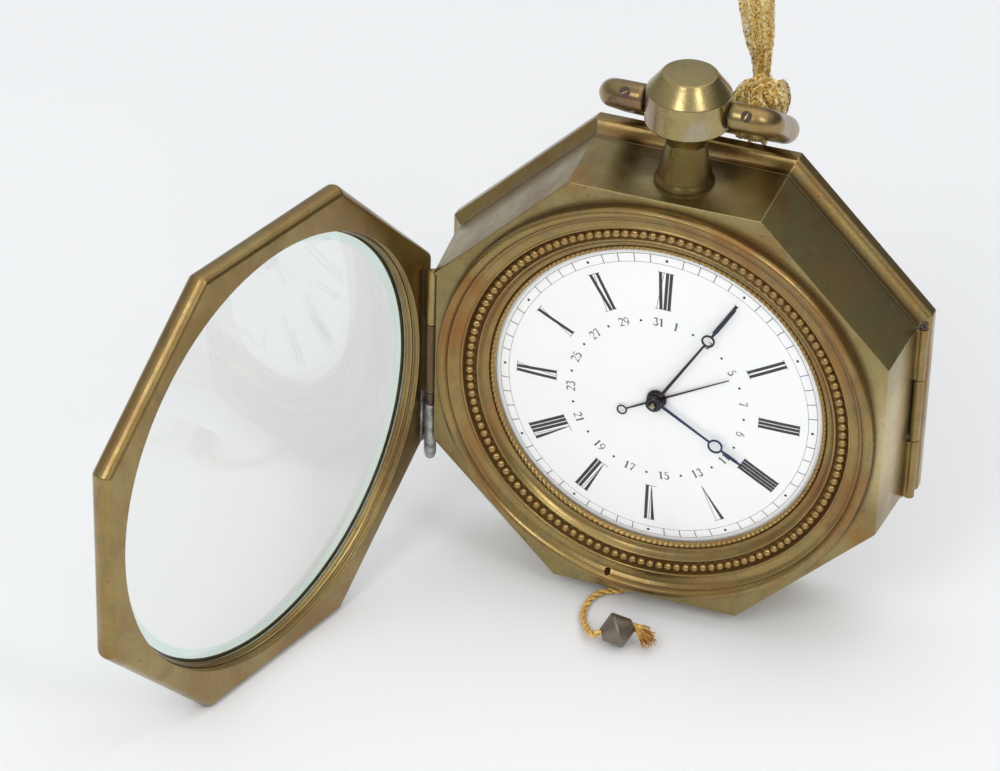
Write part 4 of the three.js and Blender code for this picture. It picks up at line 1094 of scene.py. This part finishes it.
bow_points = bow_path()
bow_radii = [BOW["tube"]] * len(bow_points)
bow_radii[0] = bow_radii[-1] = BOW["tube"] - 0.25
bow = Build().add(*tube(bow_points, bow_radii, 48))
piece("bow_rod", bow, "bow_body", [BOW_BRASS], ["bow"], place=in_bow, sharp=40)

SCREW_AT, SCREW_TILT = 15.6, 84


def across_stub(verts, side):
    """Points about +Z of the stub's middle, turned square to its upper front."""
    x0 = BOW_X + side * SCREW_AT
    placed = [(x, turned(y, z, SCREW_TILT)) for x, y, z in verts]
    return [(x0 + x, BOW_Y + y, BOW_Z + z) for x, (y, z) in placed]


def screw_head(side, name, node):
    """A slotted head set flush in the rod."""
    r, top, slot = 1.42, 3.62, 0.19
    turn = 35 if side < 0 else 70
    verts, faces = lathe(rounded([(0, 2.6), (r, 2.6), (r, top), (0, top)], 0.12, 3), 40)
    build = Build().add(across_stub([(x, z, y) for x, y, z in verts], side), faces)
    ob = piece(name, build, "bow_body", [SCREW], [node], place=in_bow)
    flat = [(-2, -slot), (2, -slot), (2, slot), (-2, slot)]
    corners = [(*turned(x, y, turn), z) for z in (top - 0.45, top + 1) for x, y in flat]
    cut(ob, across_stub(corners, side), BOX_FACES, name + "_slot", in_bow)


screw_head(-1, "bow_screw_l", "bow_screw_left")
screw_head(1, "bow_screw_r", "bow_screw_right")


# ------------------------------------------------------------------ front door
door_sections = mixed_profile(
    [("o", [(61.9, -0.35), (62.6, -0.42), (63.3, -0.85), (63.85, -1.55), (64.2, -2.4), (64.3, -3.2),
    (64.15, -4.2), (63.75, -5.15), (63.1, -5.95), (62.3, -6.45), (61.4, -6.6), (60.8, -6.6)]),
    ("c", [(58.6, -6.6), (57.1, -6.55), (56.8, -6.35), (56.8, -6.05), (58.2, -6.0), (58.3, -5.6),
    (58.3, -4.4), (58.25, -2.2), (58.6, -1.95), (58.6, -1.75), (58.2, -1.5), (58.2, -1.15), (58.5, -0.95),
    (58.32, -0.7), (58.32, -0.45), (58.5, -0.35), (59.2, -0.35)])], 0.12
)
door = Build().add(*shell(door_sections, closed=True, corner=1.0))
piece("door_frame_cast", door, "front_door", [DOOR_BRASS], ["door_frame"], place=in_door)

pane = Build()
PANE = [
    ([(0, -6.9), (30, -6.9), (54.35, -6.9)], 0), ([(54.35, -6.9), (57.75, -5.15)], 1),
    ([(57.75, -5.15), (58.18, -5.0), (58.18, -4.55), (57.8, -4.5)], 2),
    ([(57.8, -4.5), (30, -4.5), (0, -4.5)], 0)
]
for profile, look in PANE:
    pane.add(*lathe(profile, 256), look)
pane_looks = [GLASS, GLASS_EDGE, GLASS_RIM]
pane_ob = piece("door_pane", pane, "front_door", pane_looks, ["door_glass"], in_door, 12, False)
face_out(pane_ob.data, weld=SAME)
pane_ob.data.set_sharp_from_angle(angle=12 * DEG)

GLASS_RING = [
    (57.35, -4.15), (57.35, -3.7), (57.65, -3.3), (57.6, -2.9), (57.95, -2.4), (58.02, -2.4), (58.02, -4.15)
]
ring = Build().add(*lathe(rounded(GLASS_RING, 0.12, 2, True), 256, closed=True))
piece("door_glass_ring", ring, "front_door", [DOOR_BRASS], ["glass_ring"], place=in_door)


# ------------------------------------------------------------------ hinges
def barrel(x, y, z0, z1, radius):
    """A hinge knuckle with its bore."""
    profile = [(HINGE_BORE, z0), (radius, z0), (radius, z1), (HINGE_BORE, z1)]
    return upright(rounded(profile, 0.12, 3, True), x, y, 40, closed=True)


def slab(x0, x1, y0, y1, z0, z1, soft=0.15):
    """A plate with softened edges."""
    bm = bmesh.new()
    bmesh.ops.create_cube(bm, size=1)
    for v in bm.verts:
        v.co = Vector((x1 if v.co.x > 0 else x0, y1 if v.co.y > 0 else y0, z1 if v.co.z > 0 else z0))
    bmesh.ops.bevel(bm, geom=list(bm.edges), offset=soft, segments=2, profile=0.5, affect="EDGES")
    bm.verts.ensure_lookup_table()
    verts = [tuple(v.co) for v in bm.verts]
    faces = [tuple(v.index for v in f.verts) for f in bm.faces]
    bm.free()
    return verts, faces


upper = Build()
cap_profile = [
    (0, 24.1), (HINGE_BORE, 24.08), (HINGE_BORE, 8.55), (1.4, 8.55), (1.6, 8.75), (1.6, 24.0), (1.45, 24.25),
    (0, 24.4)
]
upper.add(*upright(rounded(cap_profile, 0.1, 2), DOOR_X, DOOR_Y, 40))
upper.add(*slab(DOOR_X - 1.45, DOOR_X - 0.1, -0.3, DOOR_Y, 9.0, 23.6))
piece(
    "door_knuckle_upper", upper, "front_door", [HINGE_BRASS], ["door_upper_knuckle"],
    place=in_door
)

lower = Build()
low_profile = [(0.7, -16.2), (1.5, -16.2), (1.62, -19), (1.52, -25), (1.6, -31.2), (1.2, -32.8)]
low_profile += [(0.3, -33.2), (0.3, -32.3), (0.7, -32.1)]
lower.add(*upright(rounded(low_profile, 0.4, 4, True), DOOR_X, DOOR_Y, 32, closed=True))
lower.add(*slab(DOOR_X - 1.45, DOOR_X - 0.1, -0.3, DOOR_Y, -32.2, -16.8, 0.3))
piece("door_knuckle_lower", lower, "front_door", [SOLDER], ["door_lower_knuckle"], place=in_door)

collar = Build().add(*barrel(DOOR_X, DOOR_Y, -16.1, -12.55, 1.3))
piece("door_hinge_collar", collar, "front_door", [RUSTY], place=in_door)

PATCH_X = [-60.95, -60.55, -60.15, -59.75, -59.4]
PATCH_ROWS = 14
patch_rows = []
patch_rng = random.Random(5)
for i in range(PATCH_ROWS + 1):
    z = -12.6 - 16 * i / PATCH_ROWS
    thick = 0.34 * math.sin(math.pi * min(max(i / PATCH_ROWS, 0.04), 0.96)) ** 0.5
    row = []
    for k, x in enumerate(PATCH_X):
        wobble = patch_rng.uniform(-0.12, 0.12)
        lift = 0.0 if k in (0, 4) else thick + wobble * 0.4
        row.append((x + wobble, -0.36 + lift, z + wobble))
    patch_rows.append(row)
patch = Build().add(*sheet(patch_rows))
piece("door_solder_patch", patch, "front_door", [SOLDER], place=in_door, fix=False, sharp=70)

middle = Build().add(*barrel(DOOR_X, DOOR_Y, -12.2, 8.25, 1.5))
piece("case_knuckle_front", middle, "case", [DARK_BRASS], ["front_hinge_case_knuckle"])
for name, node, z0, z1, body in (
    ("rear_knuckle_top", "rear_hinge_upper_knuckle", 10.55, 25.5, "case"),
    ("rear_knuckle_low", "rear_hinge_lower_knuckle", -25.5, -8.15, "case"),
    ("rear_knuckle_mid", "rear_cover_knuckle", -7.85, 10.25, "back_cover")
):
    build = Build().add(*barrel(COVER_X, COVER_Y, z0, z1, 1.35))
    if body == "case":
        build.add(*slab(
            COVER_X - 1.75, COVER_X - 0.2, COVER_Y - 1.2, COVER_Y + 0.2, z0 + 0.2, z1 - 0.2, 0.12
        ))
    else:
        build.add(*slab(COVER_X - 1.5, COVER_X, COVER_Y + 0.95, COVER_Y + 1.8, z0 + 0.2, z1 - 0.2, 0.12))
    piece(name, build, body, [COVER_BRASS], [node])

rust = Build()
rust_rng = random.Random(11)
for k in range(9):
    r = rust_rng.uniform(0.35, 0.7)
    cx = COVER_X + rust_rng.uniform(-0.5, 0.7)
    cy = COVER_Y + rust_rng.uniform(-0.6, 0.6)
    cz = 26 + rust_rng.uniform(-0.4, 1.5)
    verts, faces = upright(half_round(r, r, cz, 6), cx, cy, 10)
    rust.add([tuple(c + rust_rng.uniform(-0.1, 0.1) for c in v) for v in verts], faces)
piece("rear_pin_corrosion", rust, "case", [RUSTY], sharp=70)


# ------------------------------------------------------------------ cord, bead and frayed end
BEAD_AT = Vector((-1.4, -17.6, -59.4))
HEADING = 30
BEAD_DIR = Vector((math.cos(HEADING * DEG), math.sin(HEADING * DEG), 0))
FLOOR = -63.1  # the cord's middle where it lies on the ground
cord_line = spline(
    [(-4.5, 6.9, -29.9), (-4.5, 6.9, -45), (-4.5, 6.9, -58), (-5.5, 5.5, FLOOR + 0.6), (-8, 3.6, FLOOR),
    (-11, 2, FLOOR), (-13.2, -1.5, FLOOR), (-13.7, -6.5, FLOOR), (-12.9, -10.8, FLOOR),
    (-11.2, -14, FLOOR + 0.2), (-8.9, -18, FLOOR + 1.4), BEAD_AT - BEAD_DIR * 5.8 - Vector((0, 0, 0.6)),
    BEAD_AT - BEAD_DIR * 4.3 - Vector((0, 0, 0.1)), BEAD_AT, BEAD_AT + BEAD_DIR * 5], 20
)
cord = Build()
frames = frames_along(cord_line)
walked = [0.0]
for a, b in zip(cord_line, cord_line[1:]):
    walked.append(walked[-1] + (b - a).length)
TWIST = 2 * math.pi / 5  # one turn in five millimetres
STRAND_OFF, STRAND_R = 0.44, 0.52
for strand in range(2):
    line = []
    for (p, t, s, u), w in zip(frames, walked):
        a = TWIST * w + strand * math.pi
        line.append(p + s * (STRAND_OFF * math.cos(a)) + u * (STRAND_OFF * math.sin(a)))
    cord.add(*tube(line, STRAND_R, 12))
piece("pull_cord_twisted", cord, "cord", [CORD], ["pull_cord"], sharp=80)

bead = Build()
bead_profile = rounded(
    [(0.95, -4.25), (1.6, -4.25), (4.45, -0.45), (4.6, -0.25), (4.6, 0.25), (4.45, 0.45), (1.6, 4.25),
    (0.95, 4.25)], 0.12, 3, True
)
verts, faces = lathe(bead_profile, 72, closed=True)
BEAD_LIFT = 15  # degrees that its tassel end stands up from the floor
placed = []
for x, y, z in verts:
    y, z = turned(y, z, BEAD_LIFT)
    along, across = turned(y, x, HEADING)
    placed.append((BEAD_AT.x + along, BEAD_AT.y + across, BEAD_AT.z + z))
bead.add(placed, faces)
piece("cord_bead_turned", bead, "cord", [BRONZE], ["cord_bead"])

tuft = Build()
tuft_rng = random.Random(21)
tuft_start = BEAD_AT + BEAD_DIR * 4 + Vector((0, 0, 1))
DROOP = Vector((1.0, -3.0, -2.4))
side_dir = Vector((-BEAD_DIR.y, BEAD_DIR.x, 0))
for k in range(220):
    length = tuft_rng.uniform(2.2, 5.8)
    spread = tuft_rng.uniform(0, 2 * math.pi)
    reach = tuft_rng.uniform(0.2, 2.6)
    aim = side_dir * (reach * math.cos(spread)) + Vector((0, 0, 1)) * (reach * math.sin(spread) * 0.9) + DROOP
    root = tuft_start + side_dir * tuft_rng.uniform(-0.7, 0.7) + Vector((0, 0, tuft_rng.uniform(-0.6, 0.6)))
    pts = []
    for i in range(6):
        t = i / 5
        curl = Vector([tuft_rng.uniform(-1, 1) for _ in range(3)]) * 0.28 * t
        pts.append(root + BEAD_DIR * (length * t) + aim * t**1.3 + curl)
        pts[-1].z = max(pts[-1].z, FLOOR - 0.8)
    strand, strand_faces = tube(spline(pts, 3), 0.11, 5)
    tuft.add(strand, strand_faces)
    tip_faces = len(strand_faces) // 4
    tuft.mats[-tip_faces:] = [1] * tip_faces
piece("cord_tuft", tuft, "cord", [FRAY, FRAY_TIP], ["cord_tassel"], sharp=80)


# ------------------------------------------------------------------ ribbon of gold mesh
RIBBON_FACES = Vector((0.27, -0.79, 0.56))


def facing_frames(line):
    """Frames along a line whose width lies square to the way the ribbon faces."""
    frames, last = [], Vector((1, 0, 0))
    for p, t, _, _ in frames_along(line):
        wide = t.cross(RIBBON_FACES)
        wide = last if wide.length < 0.3 else wide.normalized()
        if wide.dot(last) < 0:
            wide = -wide
        last = (last * 0.6 + wide * 0.4).normalized()
        side = (last - t * last.dot(t)).normalized()
        frames.append((p, t, side, t.cross(side).normalized()))
    return frames


ACROSS = 14


def strip(line, width, folds, seed, depth):
    """A gathered strip: its cross-section waves, and drifts along its length."""
    r = random.Random(seed)
    phase = r.uniform(0, 6)
    rows = []
    fr = facing_frames(line)
    n = len(fr)
    for i, (p, t, s, u) in enumerate(fr):
        k = i / n * (len(width) - 1)
        j = min(int(k), len(width) - 2)
        w = width[j] + (width[j + 1] - width[j]) * (k - j)
        row = []
        for a in range(ACROSS + 1):
            x = (a / ACROSS - 0.5) * w
            wave = depth * math.sin(folds * math.pi * a / ACROSS + phase + 0.35 * math.sin(i * 0.35))
            wave += r.uniform(-0.14, 0.14)
            row.append(p + s * (x + r.uniform(-0.1, 0.1)) + u * wave)
        rows.append(row)
    ribbon.add(*sheet(rows))


ribbon = Build()


def from_bar(x, dy, dz):
    """A point of the ribbon above the far bar; the knot sits a little to the right of the band."""
    aside = 3.0 if dz < 14 else max(0.5, 3.0 - (dz - 14) * 0.105)
    return (x + aside, FAR_Y + dy, FAR_Z + dz)


RISE = [
    (10.6, 1.2, 12), (10.6, 1.4, 18), (10.2, 1.4, 24), (9.7, 0.8, 38), (9.4, 2.4, 47), (9.3, 6.2, 51.2),
    (8.6, 11, 50), (7.4, 13.6, 43), (7.6, 12.4, 32), (9.2, 7.6, 21), (10.4, 3.2, 13)
]
rise_line = spline([from_bar(*p) for p in RISE], 12)
strip(rise_line, [3.8, 4.8, 7.2, 8.2, 8.6, 8.6, 8.4, 8.0, 6.2, 3.6], 4.5, 1, 0.8)
strip([p + Vector((0.3, 0.8, 0)) for p in rise_line[:70]], [3.2, 4.2, 6.4, 7.2, 7.2], 3.4, 2, 0.7)

# Turns of the knot: seed, depth of the folds, widths along it, and points from the bar.
TURNS = [
    (3, 0.35, [4, 4, 4, 4.4, 3.4], [(8, 4.4, -1), (8.2, 2.4, -3.9), (8.4, -3, -3.0), (8.6, -4.4, 1.5),
    (9.4, -2.6, 7), (11, 1, 12.5)]),
    (4, 0.35, [4, 4, 4, 4.4, 3.2], [(11.6, 4.4, -1), (11.6, 2.4, -3.9), (12, -3, -3.0), (12, -4.4, 2),
    (11.6, -2, 8), (11, 1, 12.5)]), (5, 0.8, [8, 8, 6.5, 4],
    [(10.6, 4.4, -2), (10.4, 5.2, 3), (10.6, 4.2, 8), (11, 1.4, 13)]),
    (6, 0.8, [3, 4.6, 4.4, 3.2], [(11, 0, 12.5), (8.4, -2, 11), (6.4, -2.6, 7.5), (5.8, -1.5, 3.8)]),
    (7, 0.8, [3, 5, 5, 3.4], [(11, 0, 12.5), (14.2, -1.6, 12.2), (16.6, -2, 9), (17.0, -1.2, 4.4)]),
    (8, 0.8, [3.4, 5, 5, 4], [(11, -1.5, 12), (11.6, -4.2, 9.5), (12.6, -4.6, 6), (13.4, -3.8, 3.6)]),
    (9, 0.8, [3.4, 4.6, 4.6, 3.6], [(11, -1.5, 12.5), (9.2, -4, 10), (8.6, -4.4, 7), (8.4, -4, 4.2)]),
    (10, 0.8, [3, 4, 4, 3], [(15.6, -1, 13), (15.9, 1.5, 11), (16, 3.2, 7), (15.6, 3.8, 3)]),
    (12, 0.8, [3.2, 4.4, 4.6, 4.8, 4.6, 4.4, 3.2],
    [(6.6, -2.6, 2.2), (6.4, -3.6, 6), (8, -3.2, 9.6), (11, -2.4, 11.2), (14, -3.2, 9.8), (15.6, -3.6, 6),
    (15.4, -2.6, 2.4)]), (13, 0.8, [3.2, 4, 4.2, 4, 3.2],
    [(8.4, -4.6, 3), (9, -5, 6.4), (11, -4.6, 8.2), (13, -5, 6.4), (13.6, -4.6, 3)]),
    (14, 0.8, [3, 3.6, 3.6, 3.4, 3],
    [(9.4, 0, 10.5), (10.2, -2.4, 12.6), (11.6, -1.6, 14), (12.4, 0.8, 12.4), (11, 2.2, 11)]),
    (15, 0.8, [2.6, 3.6, 3.8, 3], [(4.8, -1.2, 1.6), (4.6, -2.2, 4.8), (6.2, -1.6, 8), (8.6, -0.6, 10.5)])
]
for seed, depth, widths, points in TURNS:
    strip(spline([from_bar(*p) for p in points], 9), widths, 3.0, seed, depth)
piece("ribbon_gold_mesh", ribbon, "ribbon_body", [MESH_GOLD], ["ribbon"], fix=False, sharp=80)


# ------------------------------------------------------------------ pieces kept from the CAD
KEPT = {
    GILT: """pillar_plate top_plate pillar_1 pillar_2 pillar_3 pillar_4 balance_cock gong_block
        centre_wheel hour_wheel date_wheel minute_wheel mainspring_barrel third_wheel fourth_wheel
        balance_wheel cord_pulley""",
    GREY_BRASS: "centre_arbor",
    STEEL: """front_hinge_pin rear_hinge_pin bow_pivot_bar click pulley_post cannon_pinion winding_arbor
        escape_wheel repeat_hammer""",
    BLUED: "balance_spring gong_wire",
    COVER_BRASS: "cord_bushing",
}
for look, names in KEPT.items():
    for name in names.split():
        ob = frame["nodes"][name]
        ob.data.materials.clear()
        ob.data.materials.append(look)
        weld = ob.modifiers.new("weld", "WELD")
        weld.merge_threshold = 1e-6
        soft = ob.modifiers.new("soft", "BEVEL")
        soft.width, soft.segments, soft.limit_method, soft.angle_limit = 0.00006, 1, "ANGLE", 40 * DEG
        # The flat ends of each piece stay flat, so that no crease runs across a plate.
        curved = [abs(face.normal.y) < 0.999 for face in ob.data.polygons]
        ob.data.polygons.foreach_set("use_smooth", curved)
        ob.data.set_sharp_from_angle(angle=30 * DEG)

# ------------------------------------------------------------------ floor, light and camera
floor_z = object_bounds()[0].z - 0.00002
floor_mesh = bpy.data.meshes.new("floor")
half = 6.0
floor_mesh.from_pydata(
    [(-half, -half, floor_z), (half, -half, floor_z), (half, half, floor_z), (-half, half, floor_z)], [],
    [(0, 1, 2, 3)]
)
g = paint("paper_floor")
paper = {"Base Color": (0.9, 0.905, 0.91), "Roughness": 0.85, "Specular IOR Level": 0.1}
floor_mesh.materials.append(g.principled(paper))
linked("floor", floor_mesh)

# A pale tent: brighter overhead, darker near the horizon and darkest behind to the right.
world = bpy.data.worlds.new("studio")
bpy.context.scene.world = world
g = Graph(world, "World")
x, y, z = g.node("SeparateXYZ", {0: g.node("TexCoord").outputs["Generated"]}).outputs
overhead = g.ramp(z, 0.2, 0.75, 0.44, 0.82)
dark = g.ramp(g.add(g.multiply(x, 0.75), g.multiply(y, 0.65)), 0.3, 0.9, 1.0, 0.35)
strength = g.multiply(overhead, g.math("MAXIMUM", dark, g.ramp(z, 0.35, 0.65)))
g.surface(g.node("Background", {"Color": (0.96, 0.98, 1.0), "Strength": strength}).outputs[0])


def softbox(name, location, size, power):
    """A lamp aimed at the middle of the case's rear face."""
    light = bpy.data.lights.new(name, "AREA")
    light.shape, light.size, light.size_y = "RECTANGLE", *size
    light.energy = power
    ob = linked(name, light)
    ob.location = location
    ob.rotation_mode = "QUATERNION"
    ob.rotation_quaternion = (-Vector(location)).to_track_quat("-Z", "Y")
    return ob


def aimed(azimuth, elevation, distance):
    a, e = azimuth * DEG, elevation * DEG
    return distance * math.sin(a) * math.cos(e), -distance * math.cos(a) * math.cos(e), distance * math.sin(e)


softbox("key", (0.35, 0.2, 1.6), (1.6, 1.4), 4.4)
softbox("front_left", aimed(-11, 41, 1.7), (0.42, 0.6), 4.4)
softbox("front_right", aimed(52, 41, 1.7), (0.34, 0.6), 3.8)
fill = softbox("fill", aimed(14, 24, 2.2), (1.6, 1.2), 9)
fill.visible_glossy = False

# Camera, from the object's own frame: the dial's centre, at this azimuth, elevation and distance.
CAMERA = {"azimuth": 18.86, "elevation": 33.84, "roll": 1.67, "focal": 4656.9, "shift": (38.85, 4.75, 1178.2)}
az, el, roll = (CAMERA[k] * DEG for k in ("azimuth", "elevation", "roll"))
back = Vector((math.sin(az) * math.cos(el), -math.cos(az) * math.cos(el), math.sin(el)))
right = (-back).cross(Vector((0, 0, 1))).normalized()
up = right.cross(-back)
right, up = (right * math.cos(roll) + up * math.sin(roll), up * math.cos(roll) - right * math.sin(roll))
tx, ty, tz = CAMERA["shift"]
eye = (back * tz - right * tx + up * ty) * MM
camera = bpy.data.cameras.new("camera")
camera.sensor_width = 36
camera.lens = CAMERA["focal"] / 1000 * 36
camera.clip_start, camera.clip_end = 0.05, 30
cam = linked("camera", camera)
basis = Matrix((right, up, back)).transposed().to_4x4()
cam.matrix_world = Matrix.Translation(eye + Vector((0, FRONT * MM, 0))) @ basis
bpy.context.scene.camera = cam
bpy.context.scene.view_settings.view_transform = "Standard"
bpy.context.scene.view_settings.look = "None"
